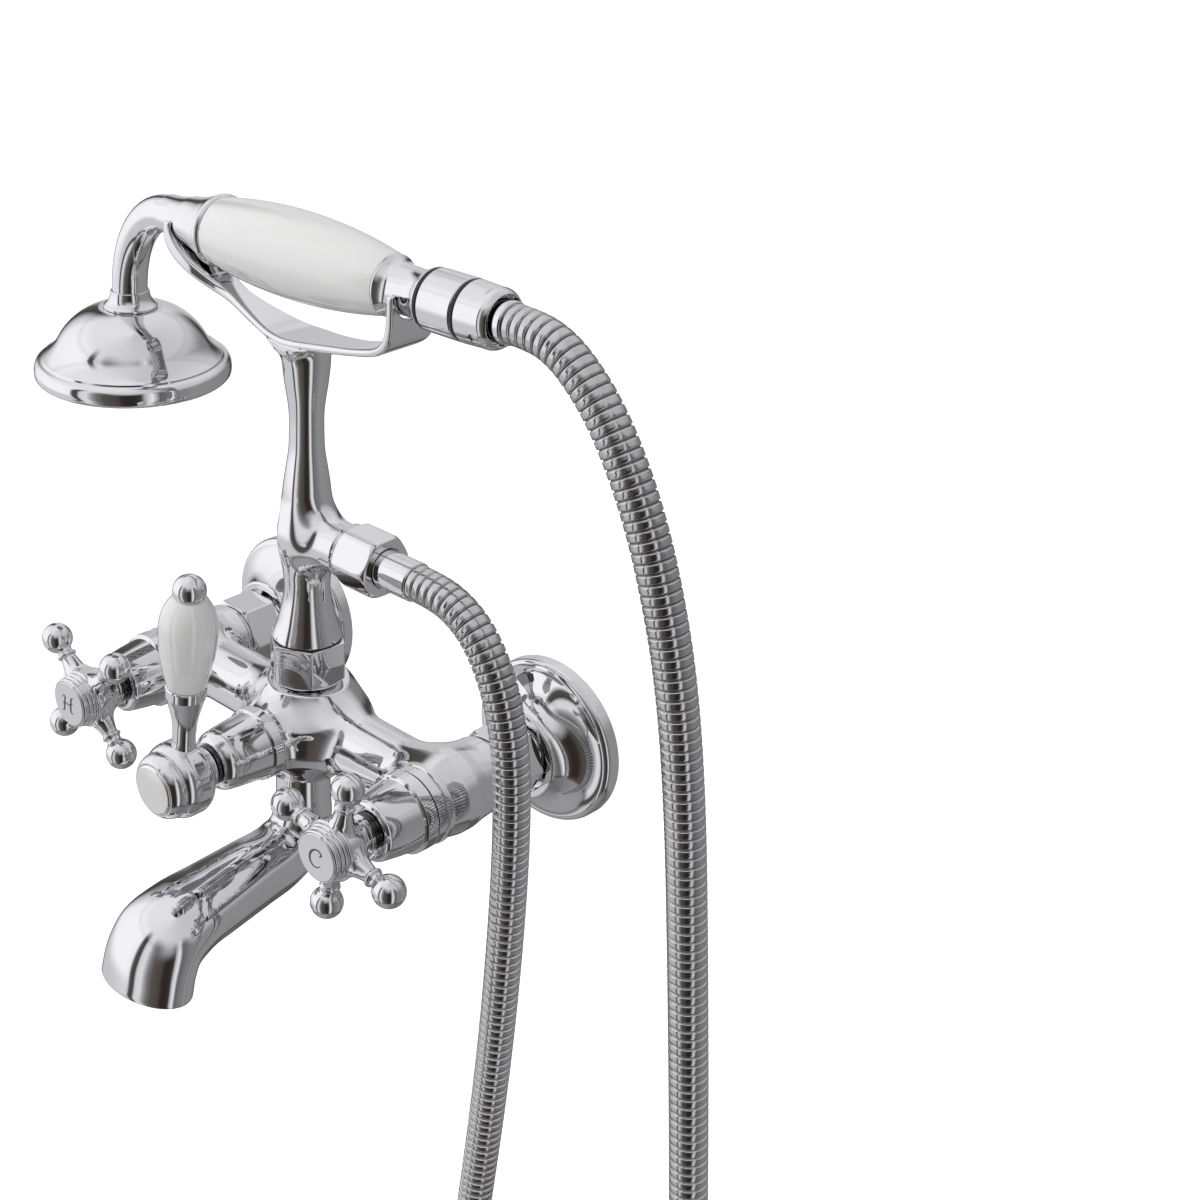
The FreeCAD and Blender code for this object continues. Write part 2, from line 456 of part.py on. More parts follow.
def cradle_shape():
    y = -VALUES["riser_reach"]
    low = [Vector(a, y - 20, b) for a, b in cells("cradle_low", len(CRADLE_LOW))]
    high = [Vector(a, y - 20, b) for a, b in cells("cradle_high", len(CRADLE_HIGH))]
    side = Part.Face(Part.Wire([smooth(low), Part.makeLine(low[-1], high[0]), smooth(high), Part.makeLine(high[-1], low[0])]))
    side = side.extrude(Vector(0, 40, 0))
    wide = cells("cradle_wide", len(CRADLE_WIDE))
    near = [Vector(a, y - b, 140) for a, b in wide]
    far = [Vector(a, y + b, 140) for a, b in reversed(wide)]
    plan = Part.Face(Part.Wire([smooth(near), Part.makeLine(near[-1], far[0]), smooth(far), Part.makeLine(far[-1], near[0])]))
    casting = side.common(plan.extrude(Vector(0, 0, 80)))
    # room for the collar of the hand shower, open upwards
    play, axis_z = VALUES["cradle_play"], VALUES["grip_height"]
    room = [(-73.0, 8.1), (-68.0, 9.0), (-62.0, 10.3), (-56.0, 11.6), (-50.0, 13.4), (-44.0, 14.0), (-44.0, 0), (-73.0, 0)]
    ring = Part.makePolygon([Vector(a, y, axis_z + (r + play if r else 0)) for a, r in room + room[:1]])
    bulge = Part.Face(ring).revolve(Vector(0, y, axis_z), Vector(1, 0, 0), 360)
    casting = casting.cut([bulge, bulge.translated(Vector(0, 0, 6))])
    # the fork round the end cap's neck
    centre = Vector(48, y, axis_z + 1.0)
    casting = casting.cut([Part.makeCylinder(9.3, 12, centre, Vector(1, 0, 0)), Part.makeBox(12, 18.6, 20, centre - Vector(0, 9.3, 0))])
    seat = Part.makeCylinder(10.2, 2.6, Vector(0, y, 159.65))
    spigot = Part.makeCylinder(VALUES["cradle_spigot"], 12.0, Vector(0, y, 149.6))
    casting = casting.fuse([seat.common(plan.extrude(Vector(0, 0, 80))), spigot]).removeSplitter()
    return casting.Solids[0] if len(casting.Solids) == 1 else casting


item = doc.addObject("Part::Feature", "handset_cradle")
item.Shape = cradle_shape()
item.Placement = Placement()
node("handset_cradle", item)

# ---------------------------------------------------------------- spout
# Stations along the spout: reach, height, half width, half thickness, lean of the section
# from level (0 = across a vertical neck, 90 = across a level run), in degrees.
STATIONS = [
    (66.0, -21.0, 11.2, 11.2, 0.0),
    (66.0, -33.0, 11.3, 11.3, 0.0),
    (66.2, -42.0, 11.9, 11.9, 4.0),
    (69.6, -51.6, 13.0, 12.8, 40.0),
    (79.0, -57.4, 14.0, 13.6, 80.0),
    (96.0, -59.9, 15.6, 14.0, 83.5),
    (115.0, -62.1, 17.6, 14.0, 83.5),
    (131.0, -64.2, 19.6, 14.0, 80.0),
    (141.6, -68.6, 21.0, 14.6, 50.0),
    (146.6, -76.0, 21.8, 14.9, 22.0),
    (149.4, -85.6, 22.2, 15.2, 8.0),
]
for i, s in enumerate(STATIONS):
    for key, v in zip(("reach", "height", "wide", "thick", "lean"), s):
        put("spout_%s_%02d" % (key, i), v)


def spout_sections(prefix, less):
    """One ellipse for each station, bound to the sheet; less is taken off both radii."""
    made = []
    for i, s in enumerate(STATIONS):
        e = doc.addObject("Part::Ellipse", "%s_%02d" % (prefix, i))
        e.setExpression("MajorRadius", "dims.spout_wide_%02d - %s" % (i, less))
        e.setExpression("MinorRadius", "dims.spout_thick_%02d - %s - 0.001" % (i, less))
        # local X stays along X; the section's normal leans from straight down to forward
        place(e, Rotation(Vector(1, 0, 0), 180 - s[4]), y="-dims.spout_reach_%02d" % i, z="dims.spout_height_%02d" % i)
        made.append(e)
    return made


outside = doc.addObject("Part::Loft", "spout_outside")
outside.Sections = spout_sections("spout_outer", "0")
outside.Solid, outside.Ruled = True, False
inside = doc.addObject("Part::Loft", "spout_inside")
inside.Sections = spout_sections("spout_inner", "dims.spout_wall")
inside.Solid, inside.Ruled = True, False
spigot = cylinder("spout_spigot_blank", "dims.spout_spigot", "9", DOWN, y="-dims.spout_reach", z="-12.1")
way = cylinder("spout_spigot_way", "6", "12", DOWN, y="-dims.spout_reach", z="-11")
node("bath_spout", cut("bath_spout", fuse("spout_blank", [outside, spigot]), fuse("spout_ways", [inside, way])))

# Flow straightener: a perforated plate that fills the waterway just inside the mouth.
put("straightener_thick", 3.0)
put("straightener_play", 0.05)
plug = doc.addObject("Part::Loft", "straightener_plug")
plug.Sections = spout_sections("spout_fit", "dims.spout_wall - dims.straightener_play")
plug.Solid, plug.Ruled = True, False
LEVEL = Rotation(Vector(1, 0, 0), 180 - 15.5)
MOUTH = Vector(0, -147.85, -79.9)
slab = cylinder("straightener_slab", "40", "dims.straightener_thick", LEVEL)
slab.Placement = Placement(MOUTH, LEVEL)
holes = []
for ring, (count, radius) in enumerate(((1, 0.0), (6, 3.7), (12, 7.2))):
    for k in range(count):
        a = 2 * math.pi * k / max(count, 1)
        c = doc.addObject("Part::Cylinder", "straightener_hole_%d_%02d" % (ring, k))
        c.Radius, c.Height = 1.25, 6
        c.Placement = Placement(MOUTH + LEVEL.multVec(Vector(1.45 * radius * math.cos(a), radius * math.sin(a), -1)), LEVEL)
        holes.append(c)
disc = common("straightener_blank", plug, slab)
node("spout_straightener", cut("spout_straightener", disc, fuse("straightener_holes", holes)))

# ---------------------------------------------------------------- hose outlet
HOSE_NUT = [
    (26.0, 9.5), (26.0, 11.0, -3.0), (27.6, 12.6), (42.2, 12.6, -3.0), (44.0, 11.0), (44.0, 7.9), (41.6, 7.9), (41.6, 9.5),
]
blank = turned("hose_nut_turning", "hose_nut", HOSE_NUT, RIGHT, y="-dims.riser_reach", z="dims.outlet_height")
hexagon = prism("hose_nut_hexagon", "dims.hose_nut_flats", "60", RIGHT, y="-dims.riser_reach", z="dims.outlet_height")
node("hose_nut", common("hose_nut", blank, hexagon))
HOSE_WASHER = [(38.0, 5.2), (38.0, 9.2), (40.0, 9.2), (40.0, 5.2)]
node("hose_washer", turned("hose_washer", "hose_washer", HOSE_WASHER, RIGHT, y="-dims.riser_reach", z="dims.outlet_height"))
FERRULE = [(40.0, 4.5), (40.0, 9.2), (41.5, 9.2), (41.5, 7.6), (59.4, 7.6), (60.0, 7.2), (60.0, 4.5)]
node("hose_ferrule", turned("hose_ferrule", "ferrule", FERRULE, RIGHT, y="-dims.riser_reach", z="dims.outlet_height"))

# ---------------------------------------------------------------- hand shower
# It lies in the cradle with its hose end a little higher: the tilt turns about SX.
SX, SY, SZ = "-dims.handset_start", "-dims.riser_reach", "dims.grip_height - dims.handset_drop"
TILTED = Rotation(Vector(0, 1, 0), 90 - VALUES["handset_tilt"])
COLLAR = [
    (32.0, 7.25), (32.0, 7.7), (37.0, 7.9, 60.0), (46.0, 9.6, 60.0), (58.0, 12.2, 20.0), (60.6, 12.9), (61.2, 13.4, -2.0), (63.6, 13.4), (64.1, 13.0), (64.1, 6.05), (45.0, 6.05), (45.0, 7.25),
]
GRIP = [
    (64.2, 6.4), (64.2, 12.6), (64.7, 12.95, -237.0), (104.0, 16.2, -248.8), (154.6, 11.0), (154.6, 6.4),
]
TUBE = [(46.0, 5.0), (46.0, 6.0), (167.0, 6.0), (167.0, 5.0)]
ENDCAP = [
    (154.7, 6.05), (154.7, 11.0), (155.4, 11.1, 9.0), (160.4, 8.9), (166.0, 8.7, 14.0), (174.4, 10.9), (174.9, 10.9), (174.9, 7.6), (169.0, 7.6), (169.0, 6.05),
]
RING_ONE = [(175.0, 8.2), (175.0, 10.6, -0.9), (176.5, 10.6), (176.5, 8.2)]
VALVE_HOUSING = [
    (170.0, 5.0), (170.0, 7.5), (176.6, 7.5), (176.6, 10.8), (177.0, 11.15), (191.6, 11.15), (192.0, 10.8), (192.0, 8.6), (199.6, 8.6), (199.6, 5.0),
]
RING_TWO = [(192.1, 8.7), (192.1, 10.6, -0.9), (193.6, 10.6), (193.6, 8.7)]
SWIVEL = [
    (193.7, 8.65), (193.7, 10.7), (194.1, 11.1), (203.0, 10.7, -5.0), (207.4, 9.2), (207.4, 8.9), (204.0, 8.7), (204.0, 7.9), (201.8, 7.9), (201.8, 8.65),
]
HAND_FERRULE = [(199.7, 4.5), (199.7, 8.1), (201.7, 8.1), (201.7, 7.6), (210.8, 7.6), (211.3, 7.2), (211.3, 4.5)]
node("handset_collar", turned("handset_collar", "collar", COLLAR, TILTED, x=SX, y=SY, z=SZ))
node("handset_grip", turned("handset_grip", "grip", GRIP, TILTED, x=SX, y=SY, z=SZ))
node("handset_inner_tube", turned("handset_inner_tube", "inner_tube", TUBE, TILTED, x=SX, y=SY, z=SZ))
node("handset_end_cap", turned("handset_end_cap", "endcap", ENDCAP, TILTED, x=SX, y=SY, z=SZ))
node("handset_seal_ring", turned("handset_seal_ring", "ring_one", RING_ONE, TILTED, x=SX, y=SY, z=SZ))
node("check_valve_housing", turned("check_valve_housing", "valve_housing", VALVE_HOUSING, TILTED, x=SX, y=SY, z=SZ))
node("swivel_seal_ring", turned("swivel_seal_ring", "ring_two", RING_TWO, TILTED, x=SX, y=SY, z=SZ))
node("hose_swivel_nut", turned("hose_swivel_nut", "swivel", SWIVEL, TILTED, x=SX, y=SY, z=SZ))
node("handset_ferrule", turned("handset_ferrule", "hand_ferrule", HAND_FERRULE, TILTED, x=SX, y=SY, z=SZ))


def bent_tube(radius):
    """Up out of the head, round one easy bend, and along the tilted hand shower."""
    hx, y = -VALUES["head_offset"], -VALUES["riser_reach"]
    tilt = math.radians(VALUES["handset_tilt"])
    along = Vector(math.cos(tilt), 0, math.sin(tilt))
    first = Vector(-VALUES["handset_start"], y, VALUES["grip_height"] - VALUES["handset_drop"])
    low, a = Vector(hx, y, 149.0), Vector(hx, y, VALUES["tube_bend_from"])
    b, end = first + along * 31.9, first + along * 44.9
    curve = Part.BezierCurve()
    curve.setPoles([a, a + Vector(0, 0, 0.5523 * (b.z - a.z)), b - along * 0.5523 * (b.x - a.x), b])
    path = Part.Wire([Part.makeLine(low, a), curve.toShape(), Part.makeLine(b, end)])
    ring = Part.Wire([Part.Edge(Part.Circle(low, Vector(0, 0, 1), radius))])
    return path.makePipeShell([ring], True, False)


goose = doc.addObject("Part::Feature", "gooseneck_tube")
goose.Shape = bent_tube(VALUES["tube_radius"]).cut(bent_tube(VALUES["tube_radius"] - VALUES["tube_wall"]))
goose.Placement = Placement()
node("gooseneck_tube", goose)

HX = "-dims.head_offset"
HEAD = [
    (118.4, 38.2), (118.4, 39.2, -2.0), (120.4, 40.4, -6.0), (123.4, 40.2, -3.0), (126.0, 38.0), (126.4, 37.2), (127.2, 37.0, 15.7), (133.6, 30.6, -27.3),
    (147.2, 13.0), (147.2, 7.3), (145.4, 7.3), (145.4, 12.0, 28.2), (141.0, 21.6, 28.2), (133.0, 28.4), (126.0, 35.6), (122.0, 38.2),
]
HEAD_COLLAR = [
    (147.3, 7.3), (147.3, 10.6, -0.6), (147.9, 11.0), (148.9, 11.0, -0.6), (149.5, 10.5, 5.0), (153.9, 8.0), (154.4, 7.8), (154.4, 7.3),
]
FACE = [(117.6, 0), (117.6, 30.0), (118.6, 36.4), (118.6, 38.0), (121.4, 38.0), (121.4, 0)]
node("shower_head_shell", turned("shower_head_shell", "head", HEAD, UP, x=HX, y=SY))
node("head_collar", turned("head_collar", "head_collar", HEAD_COLLAR, UP, x=HX, y=SY))
plain = turned("spray_plate_blank", "face", FACE, UP, x=HX, y=SY)
holes = []
for ring, count in enumerate((1, 6, 12, 18, 24)):
    for k in range(count):
        a = 2 * math.pi * k / count
        step = "dims.spray_ring_step * %d" % ring
        holes.append(cylinder("spray_hole_%d_%02d" % (ring, k), "dims.spray_hole", "8", UP,
                              x="%s + %s * %.6f" % (HX, step, math.cos(a)), y="%s + %s * %.6f" % (SY, step, math.sin(a)), z="115"))
node("spray_plate", cut("spray_plate", plain, fuse("spray_holes", holes)))

# ---------------------------------------------------------------- hose
# Route of the flexible hose: out of the ferrule to the right, down in a long hanging loop
# and up into the hand shower.  Straight runs joined by tangent arcs.
HOSE = [
    (60.0, 83.5), (70.0, 83.5), (80.7, 81.0), (90.4, 74.8), (97.9, 65.4), (104.1, 52.9), (109.2, 34.5), (111.6, 3.8),
    (111.4, -44.0), (108.2, -112.0), (100.2, -200.0), (90.0, -290.0), (80.5, -368.0), (74.6, -424.0), (75.0, -466.0),
    (95.6, -502.2), (132.0, -522.6), (174.4, -523.4), (211.0, -501.4), (232.0, -465.2), (229.6, -410.0), (224.6, -344.0),
    (218.2, -262.0), (211.0, -176.0), (203.0, -92.0), (194.5, -14.0), (187.0, 48.0), (178.5, 94.0), (167.5, 128.0),
    (158.5, 148.0), (149.5, 163.4), (141.0, 174.8), (132.0, 183.6), (122.6, 190.2), (112.0, 193.36), (101.5, 193.25),
]
for i, (hx, hz) in enumerate(HOSE):
    put("hose_x_%02d" % i, hx)
    put("hose_z_%02d" % i, hz)


def hose_path():
    points = [Vector(VALUES["hose_x_%02d" % i], -VALUES["riser_reach"], VALUES["hose_z_%02d" % i]) for i in range(len(HOSE))]
    edges, length, radii = [], 0.0, []
    last = points[0]
    for i in range(1, len(points) - 1):
        p, q, r = points[i - 1], points[i], points[i + 1]
        u, v = (q - p), (r - q)
        shorter = min(u.Length, v.Length)
        u.normalize()
        v.normalize()
        turn = u.getAngle(v)
        radius = 0.45 * shorter / math.tan(turn / 2)
        reach = 0.45 * shorter
        a, b = q - u * reach, q + v * reach
        inward = (v - u).normalize()
        centre = q + inward * (radius / math.cos(turn / 2))
        middle = centre - inward * radius
        edges.append(Part.makeLine(last, a))
        edges.append(Part.Arc(a, middle, b).toShape())
        length += (a - last).Length + radius * turn
        radii.append(round(radius, 1))
        last = b
    edges.append(Part.makeLine(last, points[-1]))
    length += (points[-1] - last).Length
    return Part.Wire(edges), length, radii


path, hose_length, radii = hose_path()
start = Vector(60.0, -VALUES["riser_reach"], 83.5)
skins = []
for across in (VALUES["hose_diameter"], VALUES["hose_bore"]):
    ring = Part.Wire([Part.Edge(Part.Circle(start, Vector(1, 0, 0), across / 2))])
    skins.append(path.makePipeShell([ring], True, False))
tube = skins[0].cut(skins[1])
if len(tube.Solids) == 1:
    tube = tube.Solids[0]
hose = doc.addObject("Part::Feature", "shower_hose")
hose.Shape = tube
hose.Placement = Placement()
node("shower_hose", hose)
section = math.pi / 4 * (VALUES["hose_diameter"] ** 2 - VALUES["hose_bore"] ** 2)
print("hose length %.1f mm, radii %s" % (hose_length, radii))
print("hose volume %.0f, section times length %.0f" % (tube.Volume, section * hose_length))

# ---------------------------------------------------------------- checks and files
doc.recompute()
for obj in doc.Objects:
    if "Invalid" in obj.State or "Error" in obj.State:
        raise RuntimeError("%s (%s) failed: %s" % (obj.Name, obj.Label, obj.State))
os.makedirs("parts", exist_ok=True)
for name, obj in NODES:
    shape = obj.Shape
    if shape.isNull() or not shape.isValid() or not shape.Solids:
        raise RuntimeError("%s has no valid solid" % name)
for name, obj in NODES:
    obj.Shape.exportStep("parts/%s.step" % name)
print(len(NODES), "nodes")
for name, obj in NODES:
    box = obj.Shape.BoundBox
    print("%-24s solids %d  volume %9.1f  x %7.1f %7.1f  y %7.1f %7.1f  z %7.1f %7.1f" % (
        name, len(obj.Shape.Solids), obj.Shape.Volume, box.XMin, box.XMax, box.YMin, box.YMax, box.ZMin, box.ZMax))
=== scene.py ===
# Looks of the wall mounted bath mixer: chrome, porcelain, black seals and a metal hose,
# modelled as smooth turned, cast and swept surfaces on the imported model's bodies.
import bmesh
import bpy
import json
import math
import numpy as np
from mathutils import Matrix, Vector


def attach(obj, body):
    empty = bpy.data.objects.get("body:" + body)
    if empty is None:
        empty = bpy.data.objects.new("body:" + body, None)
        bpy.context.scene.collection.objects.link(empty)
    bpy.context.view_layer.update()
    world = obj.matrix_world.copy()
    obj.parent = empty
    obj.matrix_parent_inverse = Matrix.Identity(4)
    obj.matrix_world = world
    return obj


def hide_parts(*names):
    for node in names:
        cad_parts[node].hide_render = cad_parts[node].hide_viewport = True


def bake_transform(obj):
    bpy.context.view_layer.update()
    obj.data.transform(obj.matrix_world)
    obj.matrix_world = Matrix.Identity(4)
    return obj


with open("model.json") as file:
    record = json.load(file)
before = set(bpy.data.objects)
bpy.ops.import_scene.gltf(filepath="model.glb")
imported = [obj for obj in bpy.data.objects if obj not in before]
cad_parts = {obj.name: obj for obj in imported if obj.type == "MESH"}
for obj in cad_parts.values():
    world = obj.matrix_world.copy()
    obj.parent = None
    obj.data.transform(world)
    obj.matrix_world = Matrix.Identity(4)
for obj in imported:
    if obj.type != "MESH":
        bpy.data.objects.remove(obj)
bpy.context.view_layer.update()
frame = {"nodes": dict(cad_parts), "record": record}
MM = 0.001


# ------------------------------------------------------------------ meshes
def mesh(name, points, faces, body, replaces=(), normals=None, material=None):
    """A smooth mesh from points in millimetres in the row frame."""
    data = bpy.data.meshes.new(name)
    data.from_pydata((np.asarray(points, float) * MM).tolist(), [], faces)
    solid = bmesh.new()
    solid.from_mesh(data)
    bmesh.ops.recalc_face_normals(solid, faces=solid.faces)
    solid.to_mesh(data)
    solid.free()
    data.polygons.foreach_set("use_smooth", np.ones(len(data.polygons), bool))
    data.update()
    if normals is not None:
        n = np.asarray(normals, float)
        n = n / np.maximum(np.linalg.norm(n, axis=1, keepdims=True), 1e-12)
        own = np.zeros(len(data.vertices) * 3)
        data.vertices.foreach_get("normal", own)
        own = own.reshape(-1, 3)
        n = np.where((n * own).sum(1, keepdims=True) < 0, -n, n)
        data.normals_split_custom_set_from_vertices(n.tolist())
    obj = bpy.data.objects.new(name, data)
    bpy.context.scene.collection.objects.link(obj)
    if material is not None:
        data.materials.append(material)
    if body:
        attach(obj, body)
    if replaces:
        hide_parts(*replaces)
    return obj


# frames: local X, Y, Z as rows, so that world = base + local @ rows
OUT = np.array([[1, 0, 0], [0, 0, 1], [0, -1, 0]], float)  # Z comes out of the wall
RIGHT = np.array([[0, 0, -1], [0, 1, 0], [1, 0, 0]], float)
UP = np.eye(3)
DOWN = np.array([[1, 0, 0], [0, -1, 0], [0, 0, -1]], float)


def leaning(degrees):
    a = math.radians(degrees)
    return np.array([[math.cos(a), 0, -math.sin(a)], [0, 1, 0], [math.sin(a), 0, math.cos(a)]])


def spoke(degrees):
    """Z points away from a handle's axis, at that angle from +X towards +Z."""
    a = math.radians(degrees)
    z = np.array([math.cos(a), 0, math.sin(a)])
    y = np.array([0, -1, 0])
    return np.array([np.cross(y, z), y, z])


def arc_centre(p, q, radius):
    mx, my = (p[0] + q[0]) / 2, (p[1] + q[1]) / 2
    dx, dy = q[0] - p[0], q[1] - p[1]
    chord = math.hypot(dx, dy)
    r = abs(radius)
    rise = math.sqrt(max(r * r - chord * chord / 4, 0.0))
    side = -1 if radius > 0 else 1
    return mx - side * -dy / chord * -rise, my - side * dx / chord * -rise


def outline(points, edge=0.25, closed=True, step=4.0):
    """Points and outward normals of a turned profile whose corners are rounded off.
    Each given point is (along, radius[, arc radius to the next point])."""
    pts = [(p[1], p[0]) for p in points]
    count = len(pts)
    segments = []
    last = count if closed else count - 1
    for i in range(last):
        p, q = np.array(pts[i]), np.array(pts[(i + 1) % count])
        bend = points[i][2] if len(points[i]) > 2 else None
        if np.hypot(*(q - p)) < 1e-9:
            continue
        if bend is None:
            d = (q - p) / np.hypot(*(q - p))
            long = np.hypot(*(q - p))
            parts = max(1, int(long / 4.0))
            line = [p + (q - p) * k / parts for k in range(parts + 1)]
            segments.append([line, [np.array([d[1], -d[0]])] * (parts + 1), abs(p[0]) < 1e-9 and abs(q[0]) < 1e-9])
        else:
            c = np.array(arc_centre(p, q, bend))
            a, b = math.atan2(*(p - c)[::-1]), math.atan2(*(q - c)[::-1])
            turn = (b - a + math.pi) % (2 * math.pi) - math.pi
            n = max(3, int(abs(math.degrees(turn)) / step), int(abs(turn * bend) / 1.6))
            line, norm = [], []
            for k in range(n + 1):
                t = a + turn * k / n
                u = np.array([math.cos(t), math.sin(t)])
                line.append(c + u * abs(bend))
                norm.append(u if turn > 0 else -u)  # the right hand side of the way
            segments.append([line, norm, False])
    area = 0.0
    flat = [p for s in segments for p in s[0]]
    for p, q in zip(flat, flat[1:] + flat[:1]):
        area += p[0] * q[1] - q[0] * p[1]
    sign = 1.0 if area > 0 else -1.0
    out_p, out_n = [], []
    m = len(segments)

    def trimmed(line, norm, t, front):
        """Cuts a length t off one end of a run of points."""
        line, norm = list(line), list(norm)
        if not front:
            line, norm = line[::-1], norm[::-1]
        while len(line) > 2 and np.hypot(*(line[1] - line[0])) <= t:
            t -= np.hypot(*(line[1] - line[0]))
            line.pop(0)
            norm.pop(0)
        d = np.hypot(*(line[1] - line[0]))
        w = min(t / d, 0.48)
        line[0] = line[0] + (line[1] - line[0]) * w
        norm[0] = norm[0] * (1 - w) + norm[1] * w
        if not front:
            line, norm = line[::-1], norm[::-1]
        return line, norm

    corners = []
    for i in range(m):
        j = (i + 1) % m
        if not closed and j == 0:
            corners.append(0.0)
            continue
        na, nb = segments[i][1][-1], segments[j][1][0]
        on_axis = segments[i][0][-1][0] < 1e-6
        turn = math.degrees(math.acos(max(-1.0, min(1.0, float(na @ nb)))))
        if turn < 9 or on_axis:
            corners.append(0.0)
        else:
            la = sum(np.hypot(*(b - a)) for a, b in zip(segments[i][0], segments[i][0][1:]))
            lb = sum(np.hypot(*(b - a)) for a, b in zip(segments[j][0], segments[j][0][1:]))
            corners.append(min(edge * math.tan(math.radians(min(turn, 120)) / 2), 0.4 * la, 0.4 * lb))
    runs = []
    for i in range(m):
        line, norm, skip = segments[i]
        before = corners[i - 1]
        if before > 0 and (closed or i > 0):
            line, norm = trimmed(line, norm, before, True)
        if corners[i] > 0:
            line, norm = trimmed(line, norm, corners[i], False)
        runs.append((line, norm, skip))
    for i in range(m):
        line, norm, skip = runs[i]
        if skip:
            continue
        out_p += line
        out_n += [n * sign for n in norm]
        if corners[i] > 0:
            nxt = runs[(i + 1) % m]
            p, q = line[-1], nxt[0][0]
            corner = segments[i][0][-1]
            na, nb = norm[-1], nxt[1][0]
            for k in range(1, 5):
                t = k / 5
                out_p.append(p * (1 - t) ** 2 + corner * 2 * t * (1 - t) + q * t * t)
                n = na * (1 - t) + nb * t
                out_n.append(n / max(np.hypot(*n), 1e-9) * sign)
    keep_p, keep_n = [], []
    for p, n in zip(out_p, out_n):  # joins points that fall together
        if keep_p and np.hypot(*(p - keep_p[-1])) < 1e-5:
            keep_n[-1] = keep_n[-1] + n
            continue
        keep_p.append(p)
        keep_n.append(n)
    if closed and len(keep_p) > 2 and np.hypot(*(keep_p[0] - keep_p[-1])) < 1e-5:
        keep_n[0] = keep_n[0] + keep_n.pop()
        keep_p.pop()
    return np.array(keep_p), np.array([n / max(np.hypot(*n), 1e-9) for n in keep_n]), sign


def turned(name, points, rows, base, body, replaces=(), edge=0.25, sides=None, material=None, radial=None):
    """A turned piece.  radial(theta, along, r) may change the radius, as for the flats of a nut."""
    p, n, sign = outline(points, edge)
    widest = p[:, 0].max()
    if sides is None:
        sides = int(min(224, max(56, 2 * math.pi * widest / 0.55)))
    theta = np.arange(sides) * 2 * math.pi / sides
    c, s = np.cos(theta), np.sin(theta)
    poles = p[:, 0] < 1e-6
    index, verts, norms = [], [], []
    for (r, a), (nr, na), pole in zip(p, n, poles):
        if pole:
            index.append([sum(len(v) for v in verts)] * sides)
            verts.append(np.array([[0.0, 0.0, a]]))
            norms.append(np.array([[0.0, 0.0, 1.0 if na > 0 else -1.0]]))
            continue
        start = sum(len(v) for v in verts)
        index.append(list(range(start, start + sides)))
        rr = np.full(sides, r) if radial is None else radial(theta, a, np.full(sides, r))
        verts.append(np.stack([rr * c, rr * s, np.full(sides, a)], 1))
        norms.append(np.stack([nr * c, nr * s, np.full(sides, na)], 1))
    faces = []
    rings = len(index)
    open_ends = poles.any()
    last = rings if not open_ends else rings - 1
    # a profile that touches the axis starts and ends there
    order = list(range(rings))
    if open_ends:
        first = [k for k in range(rings) if poles[k]]
        k0 = [k for k in first if not poles[(k + 1) % rings]][0]
        order = [(k0 + k) % rings for k in range(rings)]
    flip = sign < 0
    for k in range(last):
        u, v = index[order[k]], index[order[(k + 1) % rings]]
        pu, pv = poles[order[k]], poles[order[(k + 1) % rings]]
        if pu and pv:
            continue
        for j in range(sides):
            i = (j + 1) % sides
            if pu:
                f = [u[0], v[i], v[j]]
            elif pv:
                f = [u[j], u[i], v[0]]
            else:
                f = [u[j], u[i], v[i], v[j]]
            faces.append(f[::-1] if flip else f)
    verts = np.concatenate(verts) @ rows + np.asarray(base, float)
    norms = np.concatenate(norms) @ rows
    return mesh(name, verts, faces, body, replaces, norms if radial is None else None, material)


# ------------------------------------------------------------------ cast pieces
def smin(a, b, k):
    h = np.maximum(k - np.abs(a - b), 0.0) / k
    return np.minimum(a, b) - h * h * k * 0.25


def smax(a, b, k):
    return -smin(-a, -b, k)


def taper(points, soft=1.0):
    """A smooth radius along an axis, from (along, radius) points."""
    a = np.array([p[0] for p in points], float)
    r = np.array([p[1] for p in points], float)
    grid = np.arange(a[0] - 8 * soft, a[-1] + 8 * soft, 0.05)
    base = np.interp(grid, a, r)
    k = np.arange(-4 * soft, 4 * soft + 1e-9, 0.05)
    w = np.exp(-0.5 * (k / soft) ** 2)
    out = np.convolve(np.pad(base, len(k) // 2, mode="edge"), w / w.sum(), mode="valid")
    return grid, out[: len(grid)]


def spun(P, base, axis, table, a0, a1, end=0.6):
    """Distance to a turned solid whose radius follows table from a0 to a1."""
    d = P - np.asarray(base, float)
    along = d @ np.asarray(axis, float)
    r = np.sqrt(np.maximum((d * d).sum(1) - along * along, 1e-12))
    grid, radius = table
    R = np.interp(along, grid, radius)
    slope = (np.interp(along + 0.2, grid, radius) - np.interp(along - 0.2, grid, radius)) / 0.4
    f = (r - R) / np.sqrt(1 + slope * slope)
    f = smax(f, along - a1, end)
    return smax(f, a0 - along, end)


